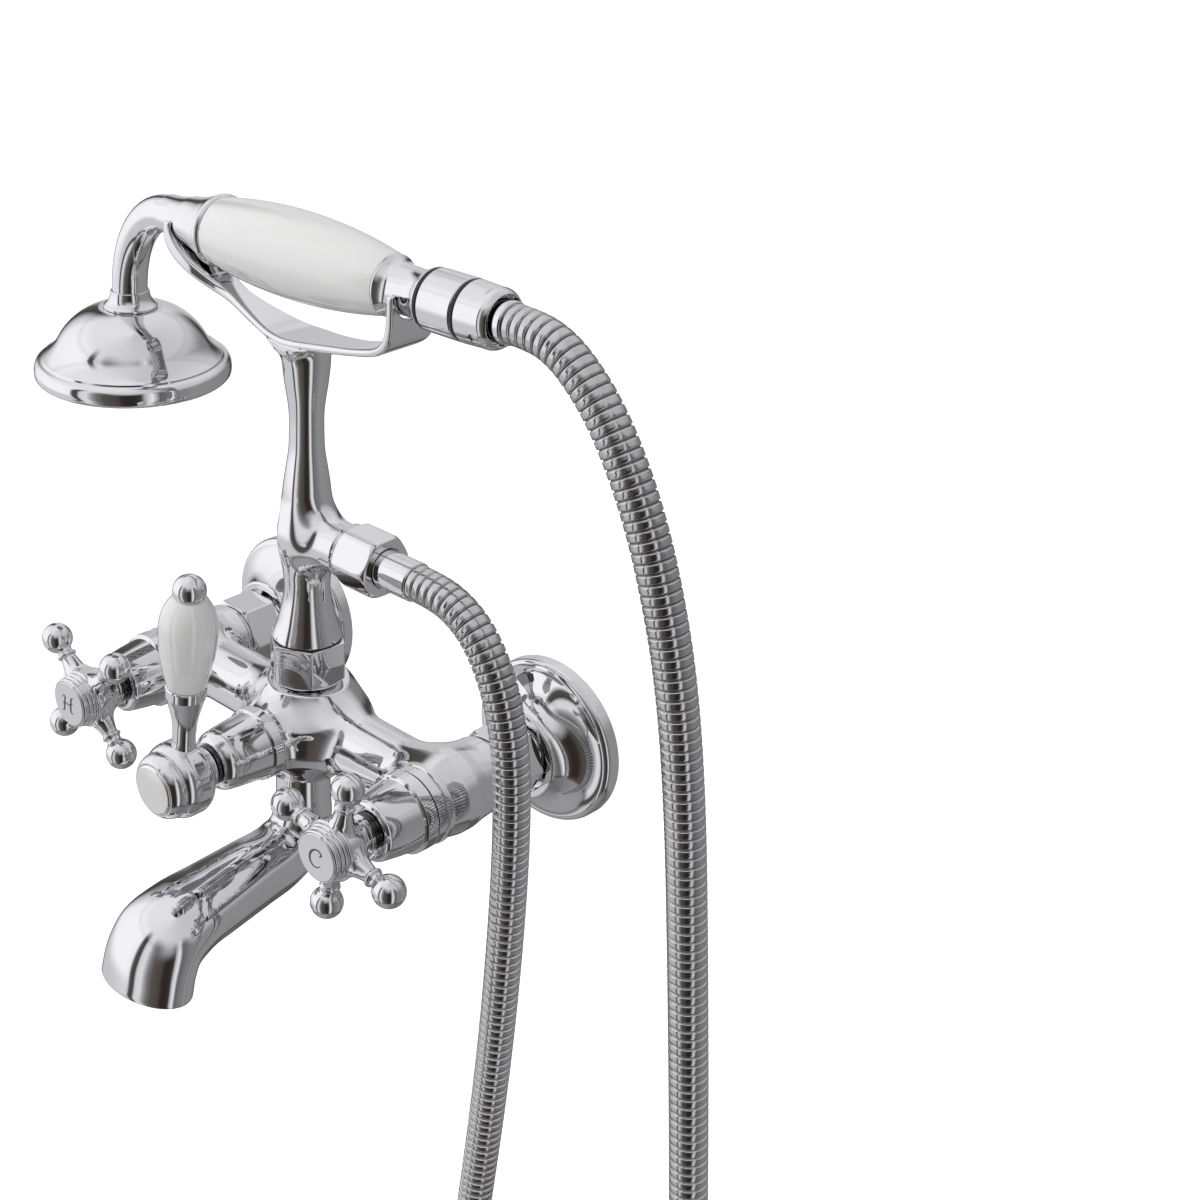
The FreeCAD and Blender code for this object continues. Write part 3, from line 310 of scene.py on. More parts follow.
def cast(name, field, low, high, cell, body, replaces=(), material=None):
    """The surface where field is zero, as a mesh with the field's own normals."""
    axes = [np.arange(l, h + cell, cell) for l, h in zip(low, high)]
    nx, ny, nz = [len(a) for a in axes]
    F = np.empty((nx, ny, nz))
    Y, Z = np.meshgrid(axes[1], axes[2], indexing="ij")
    step = max(1, int(150000 / (ny * nz)))
    for i in range(0, nx, step):
        xs = axes[0][i : i + step]
        P = np.stack([np.repeat(xs, ny * nz), np.tile(Y.ravel(), len(xs)), np.tile(Z.ravel(), len(xs))], 1)
        F[i : i + len(xs)] = field(P).reshape(len(xs), ny, nz)
    inside = F < 0
    count = sum(inside[i : nx - 1 + i, j : ny - 1 + j, k : nz - 1 + k].astype(int) for i in (0, 1) for j in (0, 1) for k in (0, 1))
    active = (count > 0) & (count < 8)
    cells = np.argwhere(active)
    ids = -np.ones(active.shape, int)
    ids[active] = np.arange(len(cells))
    total, hits = np.zeros((len(cells), 3)), np.zeros(len(cells))
    for axis in range(3):
        others = [o for o in range(3) if o != axis]
        for u in (0, 1):
            for v in (0, 1):
                a = cells.copy()
                a[:, others[0]] += u
                a[:, others[1]] += v
                b = a.copy()
                b[:, axis] += 1
                fa, fb = F[tuple(a.T)], F[tuple(b.T)]
                cross = (fa < 0) != (fb < 0)
                t = np.where(cross, fa / np.where(cross, fa - fb, 1.0), 0.0)
                p = a.astype(float)
                p[:, axis] += t
                total += p * cross[:, None]
                hits += cross
    P = total / hits[:, None] * cell + np.asarray(low, float)

    def gradient(P, h=0.05):
        g = np.empty_like(P)
        for k in range(3):
            e = np.zeros(3)
            e[k] = h
            g[:, k] = (field(P + e) - field(P - e)) / (2 * h)
        return g

    for _ in range(3):
        g = gradient(P)
        move = -field(P)[:, None] * g / np.maximum((g * g).sum(1, keepdims=True), 0.05)
        long = np.linalg.norm(move, axis=1, keepdims=True)
        P = P + move * np.minimum(1.0, 0.7 * cell / np.maximum(long, 1e-9))
    faces = []
    for axis in range(3):
        o1, o2 = [o for o in range(3) if o != axis]
        lead = [slice(None)] * 3
        lead[axis] = slice(0, F.shape[axis] - 1)
        nxt = [slice(None)] * 3
        nxt[axis] = slice(1, F.shape[axis])
        change = np.argwhere(inside[tuple(lead)] != inside[tuple(nxt)])
        ok = (change[:, o1] > 0) & (change[:, o2] > 0) & (change[:, o1] < F.shape[o1] - 1) & (change[:, o2] < F.shape[o2] - 1)
        change = change[ok]
        quad = []
        for u, v in ((-1, -1), (0, -1), (0, 0), (-1, 0)):
            c = change.copy()
            c[:, o1] += u
            c[:, o2] += v
            quad.append(ids[tuple(c.T)])
        faces.append(np.stack(quad, 1))
    faces = np.concatenate(faces)
    return mesh(name, P, faces.tolist(), body, replaces, gradient(P, 0.1), material)


# ------------------------------------------------------------------ swept pieces
def swept(name, rings, body, replaces=(), material=None, caps=False, closed=False):
    """A surface through rings of points, each ring with the same number of points."""
    rings = np.asarray(rings, float)
    n, m = rings.shape[:2]
    faces = []
    for i in range(n if closed else n - 1):
        a, b = i * m, ((i + 1) % n) * m
        for j in range(m):
            k = (j + 1) % m
            faces.append([a + j, a + k, b + k, b + j])
    if caps:
        faces.append(list(range(m))[::-1])
        faces.append([(n - 1) * m + j for j in range(m)])
    return mesh(name, rings.reshape(-1, 3), faces, body, replaces, None, material)


def curve_through(points, count, order=3):
    """Points read from a smooth NURBS line with these control points, in millimetres."""
    data = bpy.data.curves.new("line", "CURVE")
    data.dimensions = "3D"
    spline = data.splines.new("NURBS")
    spline.points.add(len(points) - 1)
    for q, p in zip(spline.points, points):
        q.co = (p[0] * MM, p[1] * MM, p[2] * MM, 1.0)
    spline.order_u = order
    spline.use_endpoint_u = True
    spline.resolution_u = 24
    holder = bpy.data.objects.new("line", data)
    bpy.context.scene.collection.objects.link(holder)
    bpy.context.view_layer.update()
    line = bpy.data.meshes.new_from_object(holder)
    raw = np.array([v.co for v in line.vertices], float) / MM
    bpy.data.objects.remove(holder)
    bpy.data.curves.remove(data)
    bpy.data.meshes.remove(line)
    long = np.concatenate([[0], np.cumsum(np.linalg.norm(np.diff(raw, axis=0), axis=1))])
    s = np.linspace(0, long[-1], count)
    return np.stack([np.interp(s, long, raw[:, k]) for k in range(3)], 1), long[-1]


# ------------------------------------------------------------------ materials
def material(name):
    mat = bpy.data.materials.new(name)
    mat.use_nodes = True
    tree = mat.node_tree
    return mat, tree, tree.nodes["Principled BSDF"]


def link(tree, a, b):
    tree.links.new(a, b)


def noise(tree, scale, detail=2.0, rough=0.5, where=None):
    n = tree.nodes.new("ShaderNodeTexNoise")
    n.inputs["Scale"].default_value = scale
    n.inputs["Detail"].default_value = detail
    n.inputs["Roughness"].default_value = rough
    link(tree, where, n.inputs["Vector"])
    return n


def ramp(tree, source, low, high, a, b):
    r = tree.nodes.new("ShaderNodeMapRange")
    r.inputs["From Min"].default_value = low
    r.inputs["From Max"].default_value = high
    r.inputs["To Min"].default_value = a
    r.inputs["To Max"].default_value = b
    link(tree, source, r.inputs["Value"])
    return r


def metal(name, colour, rough_low, rough_high, wave=0.00002, grain=0.0):
    """Plated or polished metal: a faint waviness, smears in its gloss and a fine grain."""
    mat, tree, shader = material(name)
    place = tree.nodes.new("ShaderNodeTexCoord").outputs["Object"]
    shader.inputs["Metallic"].default_value = 1.0
    shader.inputs["IOR"].default_value = 1.5
    smear = noise(tree, 55.0, 4.0, 0.55, place)
    r = ramp(tree, smear.outputs["Fac"], 0.35, 0.75, rough_low, rough_high)
    link(tree, r.outputs["Result"], shader.inputs["Roughness"])
    tint = tree.nodes.new("ShaderNodeMix")
    tint.data_type = "RGBA"
    broad = noise(tree, 23.0, 2.0, 0.5, place)
    t = ramp(tree, broad.outputs["Fac"], 0.3, 0.7, 0.0, 1.0)
    link(tree, t.outputs["Result"], tint.inputs["Factor"])
    tint.inputs["A"].default_value = (*colour, 1)
    tint.inputs["B"].default_value = (*[min(1.0, c * 0.965 + 0.004) for c in colour], 1)
    link(tree, tint.outputs["Result"], shader.inputs["Base Color"])
    ripple = noise(tree, 90.0, 1.0, 0.4, place)
    bump = tree.nodes.new("ShaderNodeBump")
    bump.inputs["Strength"].default_value = 0.35
    bump.inputs["Distance"].default_value = wave
    link(tree, ripple.outputs["Fac"], bump.inputs["Height"])
    last = bump
    if grain:
        fine = noise(tree, 2600.0, 2.0, 0.6, place)
        second = tree.nodes.new("ShaderNodeBump")
        second.inputs["Strength"].default_value = grain
        second.inputs["Distance"].default_value = 0.00003
        link(tree, fine.outputs["Fac"], second.inputs["Height"])
        link(tree, bump.outputs["Normal"], second.inputs["Normal"])
        last = second
    link(tree, last.outputs["Normal"], shader.inputs["Normal"])
    return mat


def glazed(name, colour):
    """Fired porcelain: a warm white body, faint clouds, and a clear glaze over it."""
    mat, tree, shader = material(name)
    place = tree.nodes.new("ShaderNodeTexCoord").outputs["Object"]
    shader.inputs["IOR"].default_value = 1.52
    shader.inputs["Coat Weight"].default_value = 1.0
    shader.inputs["Coat Roughness"].default_value = 0.03
    shader.inputs["Coat IOR"].default_value = 1.5
    shader.inputs["Subsurface Weight"].default_value = 0.25
    shader.inputs["Subsurface Radius"].default_value = (0.004, 0.0034, 0.0026)
    shader.inputs["Subsurface Scale"].default_value = 1.0
    cloud = noise(tree, 38.0, 3.0, 0.5, place)
    t = ramp(tree, cloud.outputs["Fac"], 0.35, 0.7, 0.0, 1.0)
    tint = tree.nodes.new("ShaderNodeMix")
    tint.data_type = "RGBA"
    link(tree, t.outputs["Result"], tint.inputs["Factor"])
    tint.inputs["A"].default_value = (*colour, 1)
    tint.inputs["B"].default_value = (*[c * 0.975 for c in colour], 1)
    link(tree, tint.outputs["Result"], shader.inputs["Base Color"])
    speck = noise(tree, 420.0, 2.0, 0.5, place)
    r = ramp(tree, speck.outputs["Fac"], 0.3, 0.7, 0.10, 0.18)
    link(tree, r.outputs["Result"], shader.inputs["Roughness"])
    bump = tree.nodes.new("ShaderNodeBump")
    bump.inputs["Strength"].default_value = 0.25
    bump.inputs["Distance"].default_value = 0.00003
    swell = noise(tree, 70.0, 2.0, 0.4, place)
    link(tree, swell.outputs["Fac"], bump.inputs["Height"])
    link(tree, bump.outputs["Normal"], shader.inputs["Normal"])
    return mat


def moulded(name, colour, rough, fine=900.0, depth=0.00004):
    """Rubber or plastic: an uneven sheen over a fine moulded grain."""
    mat, tree, shader = material(name)
    place = tree.nodes.new("ShaderNodeTexCoord").outputs["Object"]
    patch = noise(tree, 120.0, 3.0, 0.55, place)
    t = ramp(tree, patch.outputs["Fac"], 0.3, 0.7, 0.0, 1.0)
    tint = tree.nodes.new("ShaderNodeMix")
    tint.data_type = "RGBA"
    link(tree, t.outputs["Result"], tint.inputs["Factor"])
    tint.inputs["A"].default_value = (*colour, 1)
    tint.inputs["B"].default_value = (*[c * 1.25 + 0.004 for c in colour], 1)
    link(tree, tint.outputs["Result"], shader.inputs["Base Color"])
    r = ramp(tree, patch.outputs["Fac"], 0.3, 0.7, rough - 0.06, rough + 0.08)
    link(tree, r.outputs["Result"], shader.inputs["Roughness"])
    grain = noise(tree, fine, 2.0, 0.6, place)
    bump = tree.nodes.new("ShaderNodeBump")
    bump.inputs["Strength"].default_value = 0.4
    bump.inputs["Distance"].default_value = depth
    link(tree, grain.outputs["Fac"], bump.inputs["Height"])
    link(tree, bump.outputs["Normal"], shader.inputs["Normal"])
    return mat


CHROME = metal("chrome_plate", (0.80, 0.80, 0.81), 0.022, 0.06)
HOSE_METAL = metal("hose_strip", (0.62, 0.61, 0.61), 0.07, 0.15, grain=0.2)
# dark metal for the floors of the hose's grooves: painted shade in the recesses between the strip's turns, which are
# the same steel
HOSE_GROOVE_SHADE = metal("hose_groove_painted_shade", (0.16, 0.16, 0.165), 0.30, 0.45, grain=0.4)
BRASS = metal("turned_brass", (0.74, 0.58, 0.30), 0.16, 0.30, grain=0.3)
STEEL = metal("screw_steel", (0.60, 0.60, 0.62), 0.16, 0.28, grain=0.3)
PORCELAIN = glazed("porcelain_glaze", (0.86, 0.855, 0.835))
RUBBER = moulded("seal_rubber", (0.018, 0.018, 0.019), 0.42)
SEAL = metal("seal_ribs", (0.26, 0.26, 0.265), 0.10, 0.20)
WHITE_PLASTIC = moulded("white_plastic", (0.74, 0.74, 0.73), 0.38)
GREY_PLASTIC = moulded("grey_plastic", (0.42, 0.43, 0.45), 0.36)
BUTTON = metal("button_enamel", (0.88, 0.87, 0.84), 0.10, 0.18)
INK = moulded("mark_enamel", (0.055, 0.055, 0.06), 0.35)
CERAMIC = moulded("lapped_ceramic", (0.80, 0.79, 0.75), 0.22)
LOOK = {
    "chrome": CHROME, "porcelain": PORCELAIN, "black_rubber": RUBBER, "plain_brass": BRASS, "alumina": CERAMIC,
    "steel_screw": STEEL, "hose_steel": HOSE_METAL, "white_plastic": WHITE_PLASTIC, "grey_plastic": GREY_PLASTIC,
}
for part in frame["record"]["subparts"]:
    node = frame["nodes"][part["node"]]
    node.data.materials.clear()
    node.data.materials.append(LOOK[part["material_slot"]])
    node.data.polygons.foreach_set("material_index", [0] * len(node.data.polygons))

# ------------------------------------------------------------------ camera
eye = bpy.data.cameras.new("camera")
camera = bpy.data.objects.new("camera", eye)
bpy.context.scene.collection.objects.link(camera)
AZ, EL = math.radians(47.63), math.radians(26.97)
back = Vector((math.sin(AZ) * math.cos(EL), -math.cos(AZ) * math.cos(EL), math.sin(EL)))
cam_x = Vector((math.cos(AZ), math.sin(AZ), 0.0))
cam_y = back.cross(cam_x)
camera.matrix_world = Matrix((
    (cam_x.x, cam_y.x, back.x, 0.52871),
    (cam_x.y, cam_y.y, back.y, -0.53901),
    (cam_x.z, cam_y.z, back.z, 0.41577),
    (0, 0, 0, 1),
))
eye.sensor_width = 36.0
eye.lens = 61.31
# the object stands in the left half of the frame, so the lens is shifted to the right
eye.shift_x = 0.2333
eye.clip_start, eye.clip_end = 0.01, 100.0
bpy.context.scene.camera = camera
bpy.context.scene.view_settings.view_transform = "Standard"
bpy.context.scene.view_settings.look = "None"

# ------------------------------------------------------------------ light
scene = bpy.context.scene
world = bpy.data.worlds.new("studio")
scene.world = world
world.use_nodes = True
sky = world.node_tree.nodes["Background"]
sky.inputs["Color"].default_value = (0.975, 0.978, 1.0, 1)
sky.inputs["Strength"].default_value = 0.55


def floor():
    bm = bmesh.new()
    size = 30.0
    for x, y in ((-1, -1), (1, -1), (1, 1), (-1, 1)):
        bm.verts.new((x * size, y * size, 0))
    bm.faces.new(bm.verts)
    data = bpy.data.meshes.new("floor")
    bm.to_mesh(data)
    bm.free()
    mat, tree, shader = material("floor_white")
    shader.inputs["Base Color"].default_value = (0.97, 0.97, 0.97, 1)
    shader.inputs["Roughness"].default_value = 0.9
    shader.inputs["Emission Color"].default_value = (1, 1, 1, 1)
    shader.inputs["Emission Strength"].default_value = 0.62
    data.materials.append(mat)
    obj = bpy.data.objects.new("floor", data)
    scene.collection.objects.link(obj)
    obj.location = (0, 0, -0.60)
    obj.visible_diffuse = False
    obj.visible_glossy = False


floor()


def backdrop():
    """A white shell behind everything, so that low views show no horizon.  Only the camera sees it."""
    across, up, radius = 96, 24, 29.0
    a = np.arange(across) * 2 * math.pi / across
    points, faces = [], []
    for j in range(up + 1):
        e = math.radians(-4.0 + 93.5 * j / up)
        points += [(radius * math.cos(e) * math.cos(t), radius * math.cos(e) * math.sin(t), radius * math.sin(e) - 0.6) for t in a]
    for j in range(up):
        for i in range(across):
            k = (i + 1) % across
            faces.append([j * across + i, (j + 1) * across + i, (j + 1) * across + k, j * across + k])
    data = bpy.data.meshes.new("backdrop")
    data.from_pydata(points, [], faces)
    mat = bpy.data.materials.new("backdrop_white")
    mat.use_nodes = True
    tree = mat.node_tree
    tree.nodes.remove(tree.nodes["Principled BSDF"])
    glow = tree.nodes.new("ShaderNodeEmission")
    glow.inputs["Color"].default_value = (1, 1, 1, 1)
    glow.inputs["Strength"].default_value = 1.0
    tree.links.new(glow.outputs["Emission"], tree.nodes["Material Output"].inputs["Surface"])
    data.materials.append(mat)
    obj = bpy.data.objects.new("backdrop", data)
    scene.collection.objects.link(obj)
    obj.visible_diffuse = False
    obj.visible_glossy = False
    obj.visible_shadow = False
    obj.visible_transmission = False


backdrop()
MID = Vector((0.0, -0.07, 0.03))
# the photographer's tent as a large dome that only reflections see
TO_CAMERA = np.array([0.739, -0.674, 0.0])
TO_RIGHT = np.array([0.674, 0.739, 0.0])
ROUND = [  # degrees right of the camera, brightness at the level of the sides
    (-180, 0.64), (-170, 0.62), (-164, 0.10), (-158, 0.06), (-150, 0.66), (-138, 1.05), (-112, 1.12), (-83, 1.12),
    (-74, 1.05), (-70, 0.10), (-64, 0.06), (-60, 0.78), (-52, 0.86), (-46, 0.42), (-40, 0.20), (-32, 0.10), (-16, 0.07), (-9, 0.03), (3, 0.026),
    (12, 0.05), (17, 0.56), (25, 0.96), (30, 0.48), (34, 0.14), (50, 0.22), (75, 0.31), (120, 0.29), (148, 0.25), (156, 0.06), (162, 0.08),
    (170, 0.60), (180, 0.64),
]


def ease(low, high, x):
    t = np.clip((x - low) / (high - low), 0.0, 1.0)
    return t * t * (3 - 2 * t)


def tent(turn, rise):
    """Colour of the dome, from degrees right of the camera and degrees above the level."""
    knots = np.array(ROUND, float)
    side = np.interp(turn, knots[:, 0], knots[:, 1])
    left = -np.sin(np.radians(turn))
    roof = 0.80 + 0.12 * left - 0.06 * np.cos(np.radians(turn))
    ground = 0.27 + 0.10 * left
    side = side * np.where(turn < -72.0, 0.62 + 0.38 * ease(-25.0, -7.0, rise), 1.0)
    side = side * (1 - 0.55 * ease(160.0, 172.0, np.abs(turn)) * ease(4.0, 26.0, -rise))
    # the camera and the room behind it end a little above the level
    front = np.exp(-((turn + 8.0) / 24.0) ** 2)
    side = side + front * ease(14.0, 36.0, rise) * (0.52 - side)
    right = ease(36.0, 62.0, turn)
    value = side + (roof - side) * ease(30.0 - 24.0 * right, 52.0 - 14.0 * right, rise)
    # a dark seam where the tent's roof starts, and one where the table ends
    value = value * (1 - 0.12 * np.exp(-(((rise - 33.0) / 3.5) ** 2)))
    value = value + (ground - value) * ease(46.0, 58.0, -rise)
    value = value * (1 - 0.6 * np.exp(-(((rise + 52.0) / 3.0) ** 2)))
    warm = np.clip(1.0 - value / 0.2, 0.0, 1.0)
    colour = np.stack([value * (1.0 + 0.22 * warm), value * (1.0 - 0.02 * warm), value * (1.035 - 0.22 * warm)], -1)
    return colour


def dome():
    across, up, radius = 360, 150, 3.2
    points, colours, faces = [], [], []
    for j in range(up + 1):
        rise = -90.0 + 180.0 * j / up
        turn = -180.0 + 360.0 * np.arange(across) / across
        e, t = math.radians(rise), np.radians(turn)
        spot = np.cos(t)[:, None] * TO_CAMERA * math.cos(e) + np.sin(t)[:, None] * TO_RIGHT * math.cos(e)
        spot[:, 2] += math.sin(e)
        points.append(np.array(MID) + spot * radius)
        colours.append(tent(turn, np.full(across, rise)))
    points, colours = np.concatenate(points), np.concatenate(colours)
    for j in range(up):
        for i in range(across):
            k = (i + 1) % across
            faces.append([j * across + i, (j + 1) * across + i, (j + 1) * across + k, j * across + k])
    data = bpy.data.meshes.new("tent")
    data.from_pydata([tuple(p) for p in points], [], faces)
    layer = data.color_attributes.new("tent", "FLOAT_COLOR", "POINT")
    layer.data.foreach_set("color", np.concatenate([colours, np.ones((len(colours), 1))], 1).astype(np.float32).ravel())
    mat = bpy.data.materials.new("tent")
    mat.use_nodes = True
    tree = mat.node_tree
    tree.nodes.remove(tree.nodes["Principled BSDF"])
    glow = tree.nodes.new("ShaderNodeEmission")
    paint = tree.nodes.new("ShaderNodeVertexColor")
    paint.layer_name = "tent"
    tree.links.new(paint.outputs["Color"], glow.inputs["Color"])
    tree.links.new(glow.outputs["Emission"], tree.nodes["Material Output"].inputs["Surface"])
    data.materials.append(mat)
    obj = bpy.data.objects.new("tent", data)
    scene.collection.objects.link(obj)
    obj.visible_camera = False
    obj.visible_diffuse = False
    obj.visible_shadow = False
    obj.visible_transmission = False


dome()
key = bpy.data.lights.new("key", "AREA")
key.shape, key.size, key.size_y, key.energy = "RECTANGLE", 0.9, 0.9, 10.5
key_obj = bpy.data.objects.new("key", key)
scene.collection.objects.link(key_obj)
key_obj.location = (-0.7, -0.9, 1.2)
key_obj.rotation_euler = (Vector(MID) - key_obj.location).to_track_quat("-Z", "Y").to_euler()
key_obj.visible_glossy = False

# ------------------------------------------------------------------ hose
LINE_Y = -63.5
ROUTE = [
    (60.0, 83.5), (70.0, 83.5), (80.7, 81.0), (90.4, 74.8), (97.9, 65.4), (104.1, 52.9), (109.2, 34.5), (111.6, 3.8),
    (111.4, -44.0), (108.2, -112.0), (100.2, -200.0), (90.0, -290.0), (80.5, -368.0), (74.6, -424.0), (75.0, -466.0),
    (95.6, -502.2), (132.0, -522.6), (174.4, -523.4), (211.0, -501.4), (232.0, -465.2), (229.6, -410.0), (224.6, -344.0),
    (218.2, -262.0), (211.0, -176.0), (203.0, -92.0), (194.5, -14.0), (187.0, 48.0), (178.5, 94.0), (167.5, 128.0),
    (158.5, 148.0), (149.5, 163.4), (141.0, 174.8), (132.0, 183.6), (122.6, 190.2), (112.0, 193.36), (101.5, 193.25),
]
PITCH = 3.55
RINGS_ALONG = 11


def hose():
    """Interlocked metal strip: each turn is a flat band with a rolled edge and a narrow groove."""
    rough, total = curve_through([(x, LINE_Y, z) for x, z in ROUTE], 2)
    turns = int(round(total / PITCH))
    # one turn: share of the pitch, radius; the last part is the groove
    band = [(0.0, 6.30), (0.05, 6.34), (0.085, 6.75), (0.125, 6.93), (0.18, 7.0), (0.42, 6.99), (0.62, 6.97), (0.76, 6.98), (0.83, 6.88), (0.875, 6.6), (0.91, 6.32)]
    marks = [(k + t) / turns for k in range(turns) for t, r in band] + [1.0]
    radii = [r for k in range(turns) for t, r in band] + [6.3]
    fine, total = curve_through([(x, LINE_Y, z) for x, z in ROUTE], 6000)
    s = np.linspace(0, 1, len(fine))
    P = np.stack([np.interp(marks, s, fine[:, k]) for k in range(3)], 1)
    step = 0.0012
    A = np.stack([np.interp(np.clip(np.array(marks) - step, 0, 1), s, fine[:, k]) for k in range(3)], 1)
    B = np.stack([np.interp(np.clip(np.array(marks) + step, 0, 1), s, fine[:, k]) for k in range(3)], 1)
    T = B - A
    T /= np.linalg.norm(T, axis=1, keepdims=True)
    side = np.tile(np.array([0.0, 1.0, 0.0]), (len(P), 1))
    other = np.cross(T, side)
    m = 36
    a = np.arange(m) * 2 * math.pi / m
    R = np.array(radii)[:, None, None]
    rings = P[:, None, :] + R * (np.cos(a)[None, :, None] * side[:, None, :] + np.sin(a)[None, :, None] * other[:, None, :])
    obj = swept("shower_hose_strip", rings, None, ("shower_hose",), HOSE_METAL, caps=True)
    # the groove floors take the dark metal, painted shade between the turns
    obj.data.materials.append(HOSE_GROOVE_SHADE)
    ring_of = np.repeat(np.arange(len(P) - 1), m)
    # the faces of the groove floors, which get the painted shade
    groove = np.array([(k % len(band)) in (0, len(band) - 1) for k in ring_of], int)
    index = np.zeros(len(obj.data.polygons), int)
    index[: len(groove)] = groove
    obj.data.polygons.foreach_set("material_index", index.tolist())
    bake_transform(obj)
    return obj


hose()

# ------------------------------------------------------------------ turned profiles
# (along the axis, radius[, arc radius to the next point]) in millimetres
FLANGE = [
    (0, 34), (4.4, 34, -3), (7, 31.4, 19), (18.6, 16.9), (18.9, 18.2, -1.2), (21, 18.2), (21.2, 17.9), (21.2, 15.4), (17.6, 15.4), (17.6, 10.53),
    (15.8, 10.53), (15.8, 17.4, -20.2), (5.9, 30.4, 2), (4.2, 32.8), (0, 32.8),
]
UNION = [
    (0, 7.5), (0, 9.7), (1, 10.48), (14, 10.48), (14.6, 10), (15.4, 10), (16, 10.48), (32.2, 10.48), (32.8, 10), (41, 10), (41, 12.9), (43, 12.9),
    (43, 7.5),
]
UNION_NUT = [
    (22, 10.6), (22, 14), (23.4, 16.4), (37.6, 16.4), (39, 14), (39, 13.3), (27, 13.3), (27, 10.6),
]
BONNET = [
    (79.7, 12.6), (79.7, 15.3), (80.3, 15.9), (85.3, 15.9), (85.9, 15.2), (86.3, 14.5), (94, 13.6), (100.6, 12.6, -2.4), (102.5, 10.6), (102.5, 6.6),
    (101.2, 6.6), (101.2, 10.8), (94, 12.2), (86.3, 12.6),
]
HUB = [
    (105, 4), (105, 8.3), (106.6, 8.7, 9), (112.5, 11), (116.7, 11.7), (119.6, 11.9, -0.9), (121.2, 11.2), (121.4, 11.2, -0.9), (122.9, 10.7),
    (123.1, 10.6, -0.8), (124.5, 10.2), (124.7, 10.1, -1.3), (126.8, 9.9), (126.8, 9.6), (124.6, 9.6), (124.6, 4.2), (121.2, 4.2), (121.2, 2.2),
    (119.6, 2.2), (119.6, 4),
]
ARM = [
    (6, 0), (6, 6.6), (9.5, 5.9, 14), (17.6, 3.2), (18.4, 3.2, -0.9), (18.7, 4.1, -0.8), (20.1, 4.1), (20.6, 3.3), (22.25, 3.344, -6.36),
    (27.66, 6.36, -6.36), (34.02, 0),
]
INDEX = [
    (124.7, 0), (124.7, 9.5), (126.8, 9.5, -0.5), (127.1, 9.2, -84.89), (127.6, 0),
]
BRIDGE = [
    (0, 0), (0, 13.2), (48, 13.2, 22), (61, 16.6), (67, 17.6, -60), (83, 17.6), (89, 16.6, 22), (102, 13.2), (150, 13.2), (150, 0),
]
CHAMBER = [
    (31, 0), (31, 12.6), (31.6, 13.2), (41, 13.2), (41, 14.6), (41.8, 15.2), (48, 15.5, 40), (57, 16.7, -16), (65, 16.7, 40), (71.5, 15.8),
    (72.8, 15.8), (73.2, 16.2), (74.4, 16.2), (74.8, 15.3), (75.8, 15.3), (76.2, 15.8), (79.5, 15.8), (79.5, 0),
]
BOSS = [
    (52, 0), (52, 15.8), (66, 15.8, 60), (80, 13.9), (88, 13.9), (88, 0),
]
SEAT = [
    (0, 0), (0, 18), (6, 18, 12), (15, 15), (19.6, 14.6), (19.6, 0),
]
SOCKET = [
    (0, 0), (0, 16), (8, 16, 12), (17, 13), (21, 12.6), (21, 0),
]
DIV_BONNET = [
    (88.2, 12), (88.2, 14.2), (88.8, 14.8), (92.8, 14.8), (93.4, 14.3), (93.8, 13.8), (104, 12.9, -60), (108.6, 12.3, -6.6), (114.5, 9), (114.5, 6.6),
    (113.2, 6.6), (113.2, 8.8), (107, 11.4), (92.8, 12),
]
LEVER_HUB = [
    (116.8, 4), (116.8, 8, -0.9), (118.2, 8, -0.9), (119.6, 8.2), (120.2, 9), (121, 11, -7.5), (126.4, 15.3), (130.4, 15.3, -8), (136, 13.4),
    (136.1, 12.8), (136.7, 12.8), (136.8, 13.4, -7.5), (142.2, 10.9), (142.2, 10.3), (139.6, 10.3), (139.6, 4.2), (136.1, 4.2), (136.1, 2.2),
    (134.6, 2.2), (134.6, 4),
]
LEVER_BUTTON = [
    (139.7, 0), (139.7, 10.2), (142.2, 10.2, -1.2), (143.1, 9.2, -42.82), (144.1, 0),
]
LEVER_NECK = [
    (8, 0), (8, 2.4), (13.25, 2.4), (13.25, 5), (15, 4.7, 40), (21, 4.6, 40), (33, 6.5, 30), (38, 7.9), (41.6, 8), (42.2, 7.6), (42.2, 3.2),
    (59, 3.2), (59, 0),
]
LEVER_GRIP = [
    (42.3, 3.3), (42.3, 7.3, -0.5), (42.8, 7.6, -86.6), (67.5, 11.2, -19.7), (80.6, 6.2), (80.9, 5.6), (80.9, 2.6), (60, 2.6), (60, 3.3),
]
LEVER_CAP = [
    (67, 0), (67, 2.5), (81, 2.5), (81, 5.9), (81.3, 6.1, -6.4), (83.15, 6.4, -6.4), (89.55, 0),
]
NIPPLE = [
    (0, 6), (0, 8.5), (0.6, 9), (9.3, 9), (9.3, 12.6, -3.4), (12.3, 16.4), (27.9, 16.4), (27.9, 9), (38.7, 9), (38.7, 6),
]
COLUMN = [
    (39, 9.1), (39, 14.3), (40, 14.3, 20), (50, 10.9, 30), (67, 9.6, 30), (77, 10.6, -20), (90, 10.6, 60), (101, 9.5), (112, 7.9, 40), (124, 6.8, 60),
    (143, 8.2, 60), (154, 9.9, 60), (159.6, 10.6), (159.6, 4.05), (149.4, 4.05), (149.4, 0), (96, 0), (96, 5), (50, 5), (50, 9.1),
]
BRANCH = [
    (0, 0), (0, 9.9), (24.4, 9.9), (25.6, 10.4), (25.9, 10.4), (25.9, 9.4), (38, 9.4), (38, 0),
]
